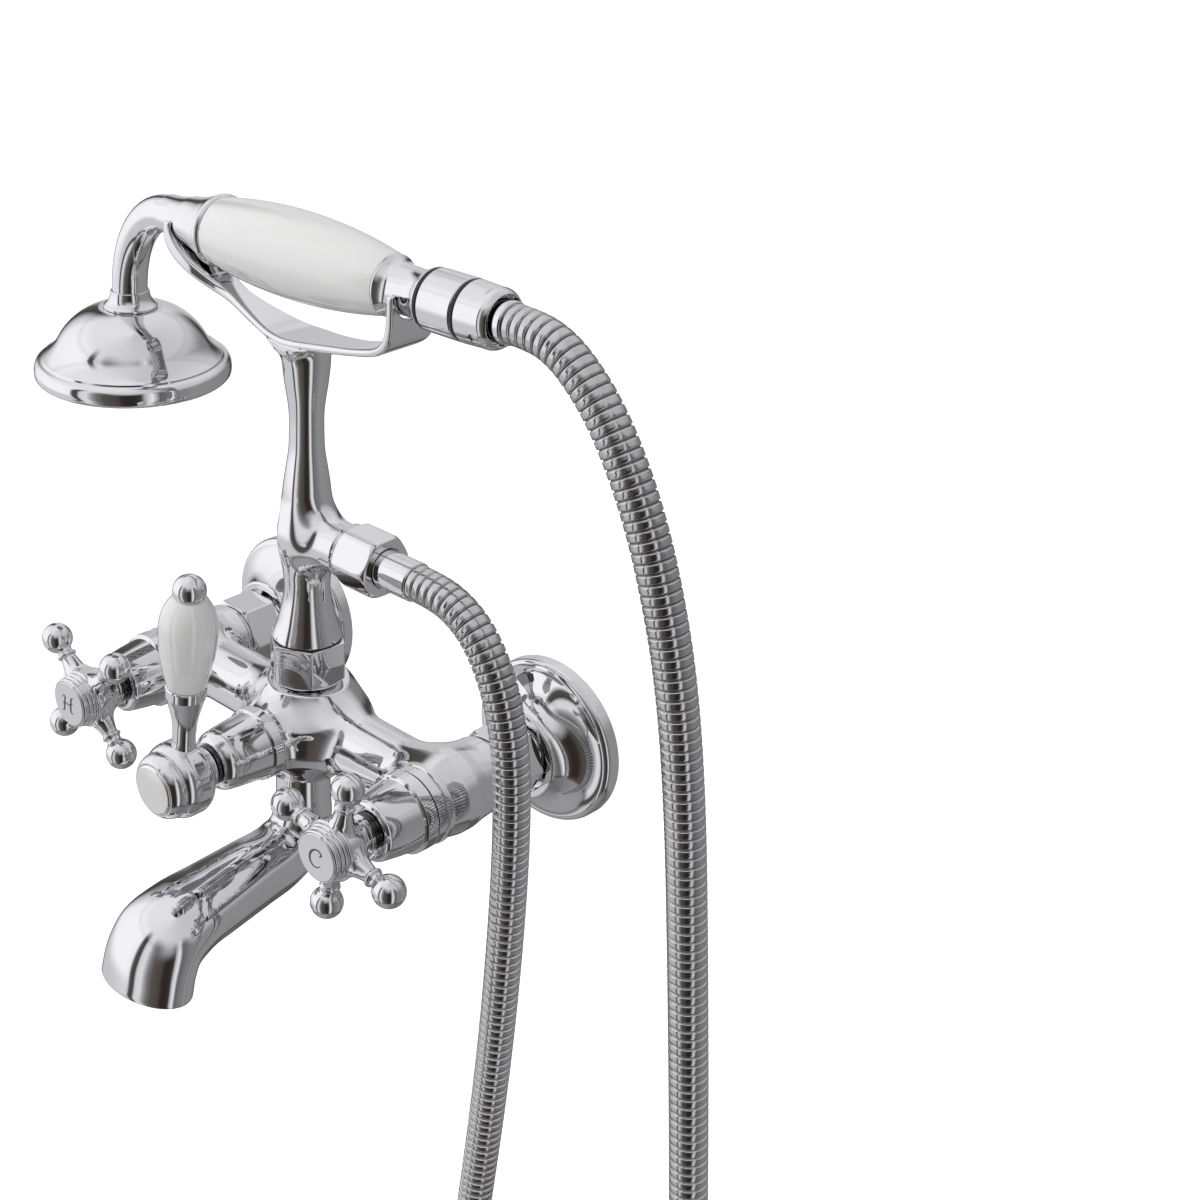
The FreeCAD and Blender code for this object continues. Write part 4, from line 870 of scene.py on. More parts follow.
CRADLE_LOW = [
    (-69.4, 192.8), (-70.6, 187.6), (-69.3, 183.2), (-64.6, 178), (-57.7, 173.8), (-50, 170.2), (-38, 166.2), (-28, 163.6), (-18, 161.4), (-9, 160.1),
    (0, 159.9), (10, 160.8), (23, 162.6), (35, 165.3), (43.5, 167.9), (49.5, 170.7), (53.6, 174.4), (55.4, 179.4), (55.7, 186), (55.7, 193.4),
]
CRADLE_HIGH = [
    (52.5, 193.4), (52.4, 185), (51.6, 178.6), (49.2, 174.6), (44.8, 171.9), (40, 170), (35, 168.4), (30, 167.1), (25, 166.1), (10, 164), (0, 163.1),
    (-7, 162.9), (-15, 163.8), (-25, 166.2), (-35, 169.2), (-43, 172.4), (-53.3, 177.8), (-59.3, 181.5), (-64, 185.9), (-66, 189.6), (-66.4, 192.8),
]
CRADLE_WIDE = [
    (-72, 10.6), (-66, 10.2), (-58, 9), (-50, 6.8), (-43, 5), (-37, 4.8), (-30, 5.9), (-22, 7.4), (-12, 9.2), (-4, 10), (3, 9.6), (10, 8.3),
    (18, 7.3), (27, 6.8), (35, 7.4), (43, 9.2), (49, 10.9), (57, 11.6),
]
STATIONS = [
    (66, -21, 11.2, 11.2, 0), (66, -33, 11.3, 11.3, 0), (66.2, -42, 11.9, 11.9, 4), (69.6, -51.6, 13, 12.8, 40), (79, -57.4, 14, 13.6, 80),
    (96, -59.9, 15.6, 14, 83.5), (115, -62.1, 17.6, 14, 83.5), (131, -64.2, 19.6, 14, 80), (141.6, -68.6, 21, 14.6, 50), (146.6, -76, 21.8, 14.9, 22),
    (149.4, -85.6, 22.2, 15.2, 8),
]
HOSE_NUT = [
    (26, 9.5), (26, 11, -3), (27.6, 12.6), (42.2, 12.6, -3), (44, 11), (44, 7.9), (41.6, 7.9), (41.6, 9.5),
]
FERRULE = [
    (40, 4.5), (40, 9.2), (41.5, 9.2), (41.5, 7.6), (59.4, 7.6), (60, 7.2), (60, 4.5),
]
COLLAR = [
    (32, 7.25), (32, 7.7), (37, 7.9, 60), (46, 9.6, 60), (58, 12.2, 20), (60.6, 12.9), (61.2, 13.4, -2), (63.6, 13.4), (64.1, 13), (64.1, 6.05),
    (45, 6.05), (45, 7.25),
]
GRIP = [
    (64.2, 6.4), (64.2, 12.6), (64.7, 12.95, -237), (104, 16.2, -248.8), (154.6, 11), (154.6, 6.4),
]
ENDCAP = [
    (154.7, 6.05), (154.7, 11), (155.4, 11.1, 9), (160.4, 8.9), (166, 8.7, 14), (174.4, 10.9), (174.9, 10.9), (174.9, 7.6), (169, 7.6), (169, 6.05),
]
RING_ONE = [
    (175, 8.2), (175, 10.6, -0.9), (176.5, 10.6), (176.5, 8.2),
]
VALVE_HOUSING = [
    (170, 5), (170, 7.5), (176.6, 7.5), (176.6, 10.8), (177, 11.15), (191.6, 11.15), (192, 10.8), (192, 8.6), (199.6, 8.6), (199.6, 5),
]
RING_TWO = [
    (192.1, 8.7), (192.1, 10.6, -0.9), (193.6, 10.6), (193.6, 8.7),
]
SWIVEL = [
    (193.7, 8.65), (193.7, 10.7), (194.1, 11.1), (203, 10.7, -5), (207.4, 9.2), (207.4, 8.9), (204, 8.7), (204, 7.9), (201.8, 7.9), (201.8, 8.65),
]
HAND_FERRULE = [
    (199.7, 4.5), (199.7, 8.1), (201.7, 8.1), (201.7, 7.6), (210.8, 7.6), (211.3, 7.2), (211.3, 4.5),
]
HEAD = [
    (118.4, 38.2), (118.4, 39.2, -2), (120.4, 40.4, -6), (123.4, 40.2, -3), (126, 38), (126.4, 37.2), (127.2, 37, 15.7), (133.6, 30.6, -27.3),
    (147.2, 13), (147.2, 7.3), (145.4, 7.3), (145.4, 12, 28.2), (141, 21.6, 28.2), (133, 28.4), (126, 35.6), (122, 38.2),
]
HEAD_COLLAR = [
    (147.3, 7.3), (147.3, 10.6, -0.6), (147.9, 11), (148.9, 11, -0.6), (149.5, 10.5, 5), (153.9, 8), (154.4, 7.8), (154.4, 7.3),
]
FACE = [
    (117.6, 0), (117.6, 30), (118.6, 36.4), (118.6, 38), (121.4, 38), (121.4, 0),
]

# ------------------------------------------------------------------ pieces
HOT, COLD = -75.0, 75.0
TILT = 0.6
ALONG = np.array([math.cos(math.radians(TILT)), 0.0, math.sin(math.radians(TILT))])
TILTED = np.array([[math.sin(math.radians(TILT)), 0, -math.cos(math.radians(TILT))], [0, 1, 0], ALONG])
LEAN = leaning(5.5)
LEVER_BASE = (0.0, -128.0, 0.0)
RISER_BASE = (0.0, LINE_Y, 0.0)
BRANCH_BASE = (0.0, LINE_Y, 83.5)
HAND_BASE = (-110.0, LINE_Y, 191.5 - 0.47)
HEAD_BASE = (-106.1, LINE_Y, 0.0)


def sampled(points):
    """(along, radius) points of an open turned profile, its arcs included."""
    out = []
    for i, p in enumerate(points):
        out.append((p[0], p[1]))
        if len(p) > 2 and i + 1 < len(points):
            q = points[i + 1]
            c = arc_centre((p[1], p[0]), (q[1], q[0]), p[2])
            a = math.atan2(p[0] - c[1], p[1] - c[0])
            b = math.atan2(q[0] - c[1], q[1] - c[0])
            turn = (b - a + math.pi) % (2 * math.pi) - math.pi
            for k in range(1, 8):
                t = a + turn * k / 8
                out.append((c[1] + abs(p[2]) * math.sin(t), c[0] + abs(p[2]) * math.cos(t)))
    for i in range(1, len(out)):  # np.interp needs a rising axis
        if out[i][0] <= out[i - 1][0]:
            out[i] = (out[i - 1][0] + 1e-4, out[i][1])
    return out


def rod(P, base, axis, radius, a0=None, a1=None, end=0.3):
    """Distance to a plain rod, open-ended where no end is given."""
    d = P - np.asarray(base, float)
    along = d @ np.asarray(axis, float)
    f = np.sqrt(np.maximum((d * d).sum(1) - along * along, 1e-12)) - radius
    if a1 is not None:
        f = smax(f, along - a1, end)
    if a0 is not None:
        f = smax(f, a0 - along, end)
    return f


def hexagon(P, base, axis, corner, flats):
    """Distance to an endless six-sided bar; corner points from the axis to one of its edges."""
    d = P - np.asarray(base, float)
    u = np.asarray(corner, float)
    v = np.cross(np.asarray(axis, float), u)
    f = None
    for k in range(3):
        t = math.radians(30 + 60 * k)
        side = np.abs(d @ (u * math.cos(t) + v * math.sin(t))) - flats / 2
        f = side if f is None else smax(f, side, 0.5)
    return f


def nut(name, points, bore, base, axis, corner, flats, body, node, low, high):
    shape = taper(sampled(points), 0.2)
    a0, a1 = points[0][0], points[-1][0]

    def field(P):
        f = smax(spun(P, base, axis, shape, a0, a1, 0.4), hexagon(P, base, axis, corner, flats), 0.5)
        return smax(f, -rod(P, base, axis, bore), 0.3)

    return cast(name, field, low, high, 0.36, body, (node,), CHROME)


def copied(obj, name, body, node, shift):
    """The same mesh again, moved along X."""
    data = obj.data.copy()
    data.transform(Matrix.Translation((shift * MM, 0, 0)))
    twin = bpy.data.objects.new(name, data)
    bpy.context.scene.collection.objects.link(twin)
    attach(twin, body)
    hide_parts(node)
    return twin


# ---- wall flanges, unions, nuts, bonnets
THREAD_PITCH = 1.814


def thread_cut(theta, along, r):
    """Half inch pipe thread on the tail behind the wall."""
    if r[0] < 10.3 or along < 1.0 or along > 32.2:
        return r
    turn = (along / THREAD_PITCH - theta / (2 * math.pi)) % 1.0
    fade = min(1.0, (along - 1.0) / 1.2, (32.2 - along) / 1.2)
    return r - 1.1 * fade * np.abs(2 * turn - 1)


fine_union = []
for i, p in enumerate(UNION):
    fine_union.append(p)
    q = UNION[(i + 1) % len(UNION)]
    if p[1] == q[1] == 10.48:
        count = int((q[0] - p[0]) / 0.22)
        fine_union += [(p[0] + (q[0] - p[0]) * k / count, 10.48) for k in range(1, count)]
nut_mesh = None
for side, x in (("hot", HOT), ("cold", COLD)):
    turned(side + "_flange_bell", FLANGE, OUT, (x, 0, 0), "root", (side + "_wall_flange",), 0.3, 256, CHROME)
    turned(side + "_union_tail", fine_union, OUT, (x, 14.0, 0), "root", (side + "_inlet_union",), 0.15, 72, CHROME, thread_cut)
    turned(side + "_bonnet_cover", BONNET, OUT, (x, 0, 0), "root", (side + "_bonnet",), 0.3, 160, CHROME)
    turned(side + "_index_disc", INDEX, OUT, (x, 0, 0), side + "_handle", (side + "_index_button",), 0.2, 128, CHROME)
    turned(side + "_handle_hub", HUB, OUT, (x, 0, 0), side + "_handle", (side + "_cross_handle",), 0.2, 160, CHROME)
hot_nut = nut("hot_union_hex", [(22.0, 14.2), (23.4, 16.4), (37.6, 16.4), (39.0, 14.2)], 13.4, (HOT, 0, 0), (0, -1, 0), (1, 0, 0), 28.0,
              "root", "hot_union_nut", (HOT - 17.5, -40.5, -17.5), (HOT + 17.5, -20.5, 17.5))
copied(hot_nut, "cold_union_hex", "root", "cold_union_nut", COLD - HOT)

# ---- cross handles: four tapered arms with a collar and a ball, grown together at the hub
HUB_CORE = taper([(105.5, 8.2), (107.0, 8.7), (112.5, 10.7), (116.7, 11.4), (119.4, 11.6)], 0.6)
ARM_SHAPE = taper([(4.0, 6.9), (6.0, 6.5), (9.5, 5.7), (13.5, 4.2), (17.6, 3.2), (24.0, 3.0)], 0.9)


def handle_arms(name, x, upright, body, node):
    base = np.array([x, -116.7, 0.0])
    axes = [np.array([math.cos(math.radians(upright + 90 * k)), 0, math.sin(math.radians(upright + 90 * k))]) for k in range(4)]

    def field(P):
        f = spun(P, (x, 0, 0), (0, -1, 0), HUB_CORE, 105.5, 119.3, 0.8)
        for axis in axes:
            d = P - base
            along = d @ axis
            r = np.sqrt(np.maximum((d * d).sum(1) - along * along, 1e-12))
            arm = spun(P, base, axis, ARM_SHAPE, 3.0, 25.0, 0.8)
            f = smin(f, arm, 2.6)
            collar = np.sqrt((np.maximum(r - 3.1, 0)) ** 2 + (along - 19.3) ** 2) - 0.95
            f = smin(f, collar, 0.4)
            ball = np.linalg.norm(d - axis * 27.66, axis=1) - 6.36
            f = smin(f, ball, 0.9)
        bore = rod(P, (x, 0, 0), (0, -1, 0), 4.1, 100.0, 121.0)
        f = smax(f, -bore, 0.2)
        f = smax(f, -rod(P, (x, 0, 0), (0, -1, 0), 9.0, 119.45, 130.0, 0.1), 0.1)
        return f

    return cast(name, field, (x - 35.5, -128.5, -35.5), (x + 35.5, -104.0, 35.5), 0.42, body, (node,), CHROME)


handle_arms("hot_handle_arms", HOT, 47.2, "hot_handle", "hot_cross_handle")
handle_arms("cold_handle_arms", COLD, 78.5, "cold_handle", "cold_cross_handle")

# ---- mixer body
BODY_BRIDGE = taper([(0, 13.0), (46.0, 13.2), (58.0, 15.2), (66.0, 16.6), (75.0, 17.2), (84.0, 16.6), (92.0, 15.2), (104.0, 13.2), (150.0, 13.0)], 4.5)
BODY_CHAMBER = taper([(31.0, 13.2), (40.8, 13.2), (41.3, 15.1), (48.0, 15.4), (53.0, 15.9), (58.0, 16.8), (64.0, 16.8), (69.0, 15.9), (71.6, 15.5), (79.0, 15.3)], 0.35)
BODY_BOSS = taper([(50.0, 15.8), (62.0, 15.8), (74.0, 14.4), (88.0, 13.9)], 1.2)
BODY_SEAT = taper([(0.0, 16.6), (6.0, 16.4), (12.0, 15.2), (19.6, 14.6)], 1.0)
BODY_SOCKET = taper([(0.0, 15.0), (8.0, 14.6), (15.0, 13.0), (21.0, 12.5)], 1.0)


def body_field(P):
    bridge = spun(P, (HOT, -62.0, 0), (1, 0, 0), BODY_BRIDGE, 2.0, 148.0, 1.0)
    hot = spun(P, (HOT, 0, 0), (0, -1, 0), BODY_CHAMBER, 31.0, 79.3, 0.5)
    cold = spun(P, (COLD, 0, 0), (0, -1, 0), BODY_CHAMBER, 31.0, 79.3, 0.5)
    boss = spun(P, (0, 0, 0), (0, -1, 0), BODY_BOSS, 50.0, 88.0, 0.5)
    seat = spun(P, RISER_BASE, (0, 0, 1), BODY_SEAT, 0.0, 19.6, 0.5)
    socket = spun(P, (0, -66.0, 0), (0, 0, -1), BODY_SOCKET, 0.0, 20.9, 0.5)
    f = smin(bridge, smin(hot, cold, 1.0), 9.0)
    middle = smin(boss, socket, 12.0)
    middle = smin(middle, seat, 12.0)
    f = smin(f, middle, 13.0)
    # the ends stay flat where the next piece sits
    f = smax(f, P[:, 2] - 19.6, 0.5)
    f = smax(f, -20.9 - P[:, 2], 0.5)
    for x in (HOT, COLD):
        f = smax(f, -rod(P, (x, 0, 0), (0, -1, 0), 10.05, 55.0, 90.0), 0.2)
        f = smax(f, -rod(P, (x, 0, 0), (0, -1, 0), 7.5, 20.0, 56.0), 0.2)
    f = smax(f, -rod(P, (0, 0, 0), (0, -1, 0), 10.05, 64.0, 95.0), 0.2)
    f = smax(f, -rod(P, RISER_BASE, (0, 0, 1), 9.1, 9.0, 30.0), 0.2)
    f = smax(f, -rod(P, (0, -66.0, 0), (0, 0, -1), 9.2, 11.0, 30.0), 0.2)
    return f


cast("mixer_body_casting", body_field, (-93.5, -89.5, -22.5), (93.5, -29.5, 21.5), 0.8, "root", ("mixer_body",), CHROME)
RING = [(71.4, 13.0), (71.4, 15.6), (71.9, 15.75), (72.9, 15.75), (73.3, 16.2), (74.5, 16.2), (74.9, 15.35), (75.7, 15.35), (76.1, 15.8), (79.5, 15.8), (79.5, 13.0)]
for side, x in (("hot", HOT), ("cold", COLD)):
    turned(side + "_chamber_ring", RING, OUT, (x, 0, 0), "root", ("mixer_body",), 0.25, 192, CHROME)

# ---- diverter and lever
turned("diverter_bonnet_cover", DIV_BONNET, OUT, (0, 0, 0), "root", ("diverter_bonnet",), 0.3, 160, CHROME)
LEVER_HUB_FINE = [
    (116.8, 4.0), (116.8, 7.7, -0.5), (117.5, 8.2, -0.5), (118.2, 7.7), (118.3, 7.7, -0.5), (119.0, 8.2, -0.5), (119.7, 7.7), (119.8, 8.2, -0.5), (120.5, 8.8),
] + LEVER_HUB[5:]
turned("lever_hub_body", LEVER_HUB_FINE, OUT, (0, 0, 0), "diverter_lever", ("lever_hub",), 0.25, 192, CHROME)
turned("lever_neck_stem", LEVER_NECK, LEAN, LEVER_BASE, "diverter_lever", ("lever_neck",), 0.3, 112, CHROME)
turned("lever_grip_porcelain", LEVER_GRIP, LEAN, LEVER_BASE, "diverter_lever", ("lever_grip",), 0.35, 144, PORCELAIN)
turned("lever_cap_dome", LEVER_CAP, LEAN, LEVER_BASE, "diverter_lever", ("lever_cap",), 0.2, 112, CHROME)
turned("lever_button_disc", LEVER_BUTTON, OUT, (0, 0, 0), "diverter_lever", ("lever_button",), 0.3, 128, BUTTON)

# ---- riser
RISER_FIELD_COLUMN = taper([(24.0, 14.3), (40.2, 14.3)] + [q for q in sampled(COLUMN[2:12])[1:] if q[0] < 150.0] + [(154.0, 9.2), (172.0, 9.5)], 2.6)
RISER_FIELD_BRANCH = taper([(0, 9.9), (22.9, 9.9), (23.3, 10.9), (24.2, 10.9), (24.5, 10.2), (24.8, 10.2), (25.1, 10.9), (25.7, 10.9), (26.0, 9.4), (38.0, 9.4)], 0.15)
LOW_LINE = np.array(CRADLE_LOW)
HIGH_LINE = np.array(CRADLE_HIGH)
SIDE = np.concatenate([LOW_LINE, HIGH_LINE])


def rounded_line(points, times=3):
    """Chaikin's corner cutting, with both ends kept."""
    p = np.asarray(points, float)
    for _ in range(times):
        q = np.empty((2 * len(p) - 2, 2))
        q[0::2] = 0.75 * p[:-1] + 0.25 * p[1:]
        q[1::2] = 0.25 * p[:-1] + 0.75 * p[1:]
        p = np.concatenate([p[:1], q[1:-1], p[-1:]])
    return p


SIDE = np.concatenate([rounded_line(LOW_LINE), rounded_line(HIGH_LINE)])
SIDE_STEP = 0.3
SIDE_X = np.arange(-80.0, 66.0, SIDE_STEP)
SIDE_Z = np.arange(150.0, 202.0, SIDE_STEP)


def side_table():
    """Signed distance to the cradle's outline in X and Z, on a grid."""
    X, Z = np.meshgrid(SIDE_X, SIDE_Z, indexing="ij")
    q = np.stack([X.ravel(), Z.ravel()], 1)
    best = np.full(len(q), 1e9)
    inside = np.zeros(len(q), bool)
    for a, b in zip(SIDE, np.roll(SIDE, -1, axis=0)):
        d = b - a
        long = float(d @ d)
        if long < 1e-12:
            continue
        t = np.clip(((q - a) @ d) / long, 0, 1)
        near = q - (a + t[:, None] * d)
        best = np.minimum(best, (near * near).sum(1))
        if a[1] != b[1]:
            crosses = (a[1] > q[:, 1]) != (b[1] > q[:, 1])
            inside ^= crosses & (q[:, 0] < (b[0] - a[0]) * (q[:, 1] - a[1]) / (b[1] - a[1]) + a[0])
    table = np.sqrt(best) * np.where(inside, -1, 1)
    return table.reshape(X.shape)


SIDE_FIELD = side_table()
WIDE = np.array(CRADLE_WIDE)
WIDE_X = np.arange(-80, 66, 0.25)
WIDE_R = np.convolve(np.pad(np.interp(WIDE_X, WIDE[:, 0], WIDE[:, 1]), 10, mode="edge"), np.ones(21) / 21, mode="valid")
ROOM = taper([(-75.0, 7.9), (-73.0, 8.1), (-68.0, 9.0), (-62.0, 10.3), (-56.0, 11.6), (-50.0, 13.4), (-40.0, 14.6)], 0.6)


def strip_field(P):
    u = (P[:, 0] - SIDE_X[0]) / SIDE_STEP
    v = (P[:, 2] - SIDE_Z[0]) / SIDE_STEP
    u = np.clip(u, 0, len(SIDE_X) - 1.001)
    v = np.clip(v, 0, len(SIDE_Z) - 1.001)
    i, j = u.astype(int), v.astype(int)
    fu, fv = u - i, v - j
    T = SIDE_FIELD
    s = T[i, j] * (1 - fu) * (1 - fv) + T[i + 1, j] * fu * (1 - fv) + T[i, j + 1] * (1 - fu) * fv + T[i + 1, j + 1] * fu * fv
    across = np.abs(P[:, 1] - LINE_Y) - np.interp(P[:, 0], WIDE_X, WIDE_R)
    f = smax(s, across, 1.6)
    # prong tips are rounded off across the strip too
    d = P - np.array([0.0, LINE_Y, 191.8])
    for lift in (0.0, 5.0):
        q = d.copy()
        q[:, 2] -= lift
        r = np.sqrt(q[:, 1] ** 2 + q[:, 2] ** 2)
        room = r - np.interp(P[:, 0], ROOM[0], ROOM[1])
        room = smax(room, P[:, 0] + 46.0, 1.0)
        f = smax(f, -room, 0.7)
    fork = np.abs(P[:, 1] - LINE_Y) - 9.3
    fork = np.where(P[:, 2] < 192.5, np.sqrt((P[:, 1] - LINE_Y) ** 2 + (P[:, 2] - 192.5) ** 2) - 9.3, fork)
    fork = smax(fork, 45.0 - P[:, 0], 0.5)
    return smax(f, -fork, 0.8)


def riser_field(P):
    column = spun(P, RISER_BASE, (0, 0, 1), RISER_FIELD_COLUMN, 39.0, 162.0, 0.3)
    branch = spun(P, BRANCH_BASE, (1, 0, 0), RISER_FIELD_BRANCH, 0.0, 38.0, 0.3)
    f = smin(column, branch, 9.0)
    return smax(f, P[:, 0] - 38.0, 0.3)


UNDERSIDE = rounded_line(LOW_LINE)
UNDERSIDE = UNDERSIDE[np.abs(UNDERSIDE[:, 0]) < 37.0]


def crown_field(P):
    """The top of the riser grown into the cradle's underside, more on the left than on the right."""
    k = np.where(P[:, 0] < 0, 9.0, 3.0 + 6.0 * np.exp(-((P[:, 0] / 7.0) ** 2)))
    a, b = riser_field(P), strip_field(P)
    h = np.maximum(k - np.abs(a - b), 0.0) / k
    grown = np.minimum(a, b) - h * h * k * 0.25
    # above its underside the strip keeps its own flat top and clean edges
    above = P[:, 2] - np.interp(P[:, 0], UNDERSIDE[:, 0], UNDERSIDE[:, 1])
    kept = np.where(np.abs(P[:, 0]) < 34.0, smin(b, above, 0.8), -50.0)
    return np.maximum(grown, kept)


def whole_riser(P):
    f = crown_field(P)
    return smax(f, -rod(P, RISER_BASE, (0, 0, 1), 9.1, 30.0, 50.0), 0.2)


cast("riser_and_cradle_casting", whole_riser, (-73.0, -80.0, 38.0), (57.5, -47.0, 195.0), 0.55, "root", ("riser_column", "handset_cradle"), CHROME)
nut("riser_nipple_hex", [(9.3, 12.4), (10.2, 13.8), (12.3, 16.2), (27.9, 16.4)], 9.0, (0, LINE_Y, 10.5), (0, 0, 1),
    (math.cos(math.radians(24)), math.sin(math.radians(24)), 0), 28.0,
    "root", "riser_nipple", (-17.5, LINE_Y - 17.5, 18.5), (17.5, LINE_Y + 17.5, 39.8))
nut("hose_nut_hex", [(26.0, 11.0), (26.7, 12.0), (27.6, 12.55), (42.2, 12.55), (43.3, 11.9), (44.0, 11.0)], 7.9, BRANCH_BASE, (1, 0, 0), (0, 1, 0), 22.4,
    "root", "hose_nut", (24.5, LINE_Y - 15.5, 68.5), (45.5, LINE_Y + 15.5, 98.5))
turned("hose_ferrule_sleeve", FERRULE, RIGHT, BRANCH_BASE, "root", ("hose_ferrule",), 0.2, 112, CHROME)

# ---- spout
def spline(knots, values, t):
    """Catmull-Rom through the values at uneven knots."""
    knots, values = np.asarray(knots, float), np.asarray(values, float)
    slope = np.gradient(values, knots)
    i = np.clip(np.searchsorted(knots, t, side="right") - 1, 0, len(knots) - 2)
    h = knots[i + 1] - knots[i]
    s = (t - knots[i]) / h
    return (values[i] * (1 + 2 * s) * (1 - s) ** 2 + slope[i] * h * s * (1 - s) ** 2
            + values[i + 1] * s * s * (3 - 2 * s) + slope[i + 1] * h * s * s * (s - 1))


def spout_rings(less, start, stop, count):
    S = np.array(STATIONS)
    knots = np.concatenate([[0], np.cumsum(np.hypot(np.diff(S[:, 0]), np.diff(S[:, 1])))])
    knots = knots / knots[-1]
    t = np.linspace(start, stop, count)
    reach, height, wide, thick, lean = [spline(knots, S[:, k], t) for k in range(5)]
    a = np.arange(96) * 2 * math.pi / 96
    rings = []
    for r, h, w, th, ln in zip(reach, height, wide, thick, lean):
        e = math.radians(ln)
        across = np.array([0, -math.cos(e), math.sin(e)])
        rings.append(np.array([0, -r, h]) + np.cos(a)[:, None] * (w - less) * np.array([1, 0, 0]) + np.sin(a)[:, None] * (th - less) * across)
    return np.array(rings), np.radians(lean)


def spout():
    outer, _ = spout_rings(0.0, 0.0, 1.0, 130)
    inner, _ = spout_rings(2.4, 0.985, 0.35, 60)
    end = math.radians(STATIONS[-1][4])
    down = np.array([0, -math.sin(end), -math.cos(end)])
    lip = []
    tip, base_in = outer[-1], inner[0]
    for k in range(1, 7):
        t = math.pi * k / 7
        mid = (tip + spout_rings(2.4, 1.0, 1.0, 1)[0][0]) / 2
        half = (tip - spout_rings(2.4, 1.0, 1.0, 1)[0][0]) / 2
        lip.append(mid + half * math.cos(t) + down * 0.7 * math.sin(t))
    rings = np.concatenate([outer, np.array(lip), inner])
    swept("bath_spout_shell", rings, "root", ("bath_spout",), CHROME, caps=True)


spout()

# ---- ribbed seals where the spindles come out
for side, x, first, widest in (("hot", HOT, 102.6, 7.6), ("cold", COLD, 102.6, 7.6), ("diverter", 0.0, 114.6, 8.2)):
    ribs = [(first, 6.4)]
    for k in range(3):
        a = first + 0.56 * k
        ribs += [(a + 0.06, widest - 0.5), (a + 0.2, widest), (a + 0.38, widest), (a + 0.52, widest - 0.5)]
    ribs.append((first + 1.7, 6.4))
    turned(side + "_stem_seal_ring", ribs, OUT, (x, 0, 0), "root", ("stem_seals",), 0.04, 96, SEAL)

# ---- hand shower
HEAD_FINE = HEAD
for name, points, node, edge, sides, look, slot in (
    ("handset_collar_cone", COLLAR, "handset_collar", 0.3, 160, CHROME, "chrome"),
    ("handset_grip_porcelain", GRIP, "handset_grip", 0.4, 176, PORCELAIN, "porcelain"),
    ("handset_end_cap_cone", ENDCAP, "handset_end_cap", 0.3, 144, CHROME, "chrome"),
    ("handset_seal_band", RING_ONE, "handset_seal_ring", 0.1, 128, RUBBER, "black_rubber"),
    ("check_valve_sleeve", VALVE_HOUSING, "check_valve_housing", 0.25, 144, CHROME, "chrome"),
    ("swivel_seal_band", RING_TWO, "swivel_seal_ring", 0.1, 128, RUBBER, "black_rubber"),
    ("handset_ferrule_sleeve", HAND_FERRULE, "handset_ferrule", 0.2, 112, CHROME, "chrome"),
):
    turned(name, points, TILTED, HAND_BASE, "hand_shower", (node,), edge, sides, look)
turned("hose_swivel_sleeve", SWIVEL, TILTED, HAND_BASE, "hose_swivel", ("hose_swivel_nut",), 0.3, 144, CHROME)
turned("shower_head_bell", HEAD, UP, HEAD_BASE, "hand_shower", ("shower_head_shell",), 0.3, 288, CHROME)
# the flare ends in a thin edge on the bell
FLARE = [(147.3, 7.3), (147.3, 10.8), (147.6, 11.0), (148.2, 11.0), (148.5, 10.7, 6.0), (153.7, 8.0), (154.4, 7.8), (154.4, 7.3)]
turned("head_collar_ring", FLARE, UP, HEAD_BASE, "hand_shower", ("head_collar",), 0.3, 128, CHROME)


def gooseneck():
    first = np.array(HAND_BASE)
    low, a = np.array([-106.1, LINE_Y, 149.0]), np.array([-106.1, LINE_Y, 153.0])
    b, end = first + ALONG * 31.9, first + ALONG * 44.9
    poles = [a, a + np.array([0, 0, 0.5523 * (b[2] - a[2])]), b - ALONG * 0.5523 * (b[0] - a[0]), b]
    t = np.linspace(0, 1, 90)[:, None]
    bend = poles[0] * (1 - t) ** 3 + 3 * poles[1] * t * (1 - t) ** 2 + 3 * poles[2] * t * t * (1 - t) + poles[3] * t ** 3
    way = np.concatenate([low + (a - low) * np.linspace(0, 1, 4)[:-1, None], bend, b + (end - b) * np.linspace(0, 1, 5)[1:, None]])
    T = np.gradient(way, axis=0)
    T /= np.linalg.norm(T, axis=1, keepdims=True)
    side = np.array([0.0, 1.0, 0.0])
    other = np.cross(T, side)
    ang = np.arange(80) * 2 * math.pi / 80
    rings = way[:, None, :] + 7.2 * (np.cos(ang)[None, :, None] * side + np.sin(ang)[None, :, None] * other[:, None, :])
    swept("gooseneck_pipe", rings, "hand_shower", ("gooseneck_tube",), CHROME, caps=True)


gooseneck()


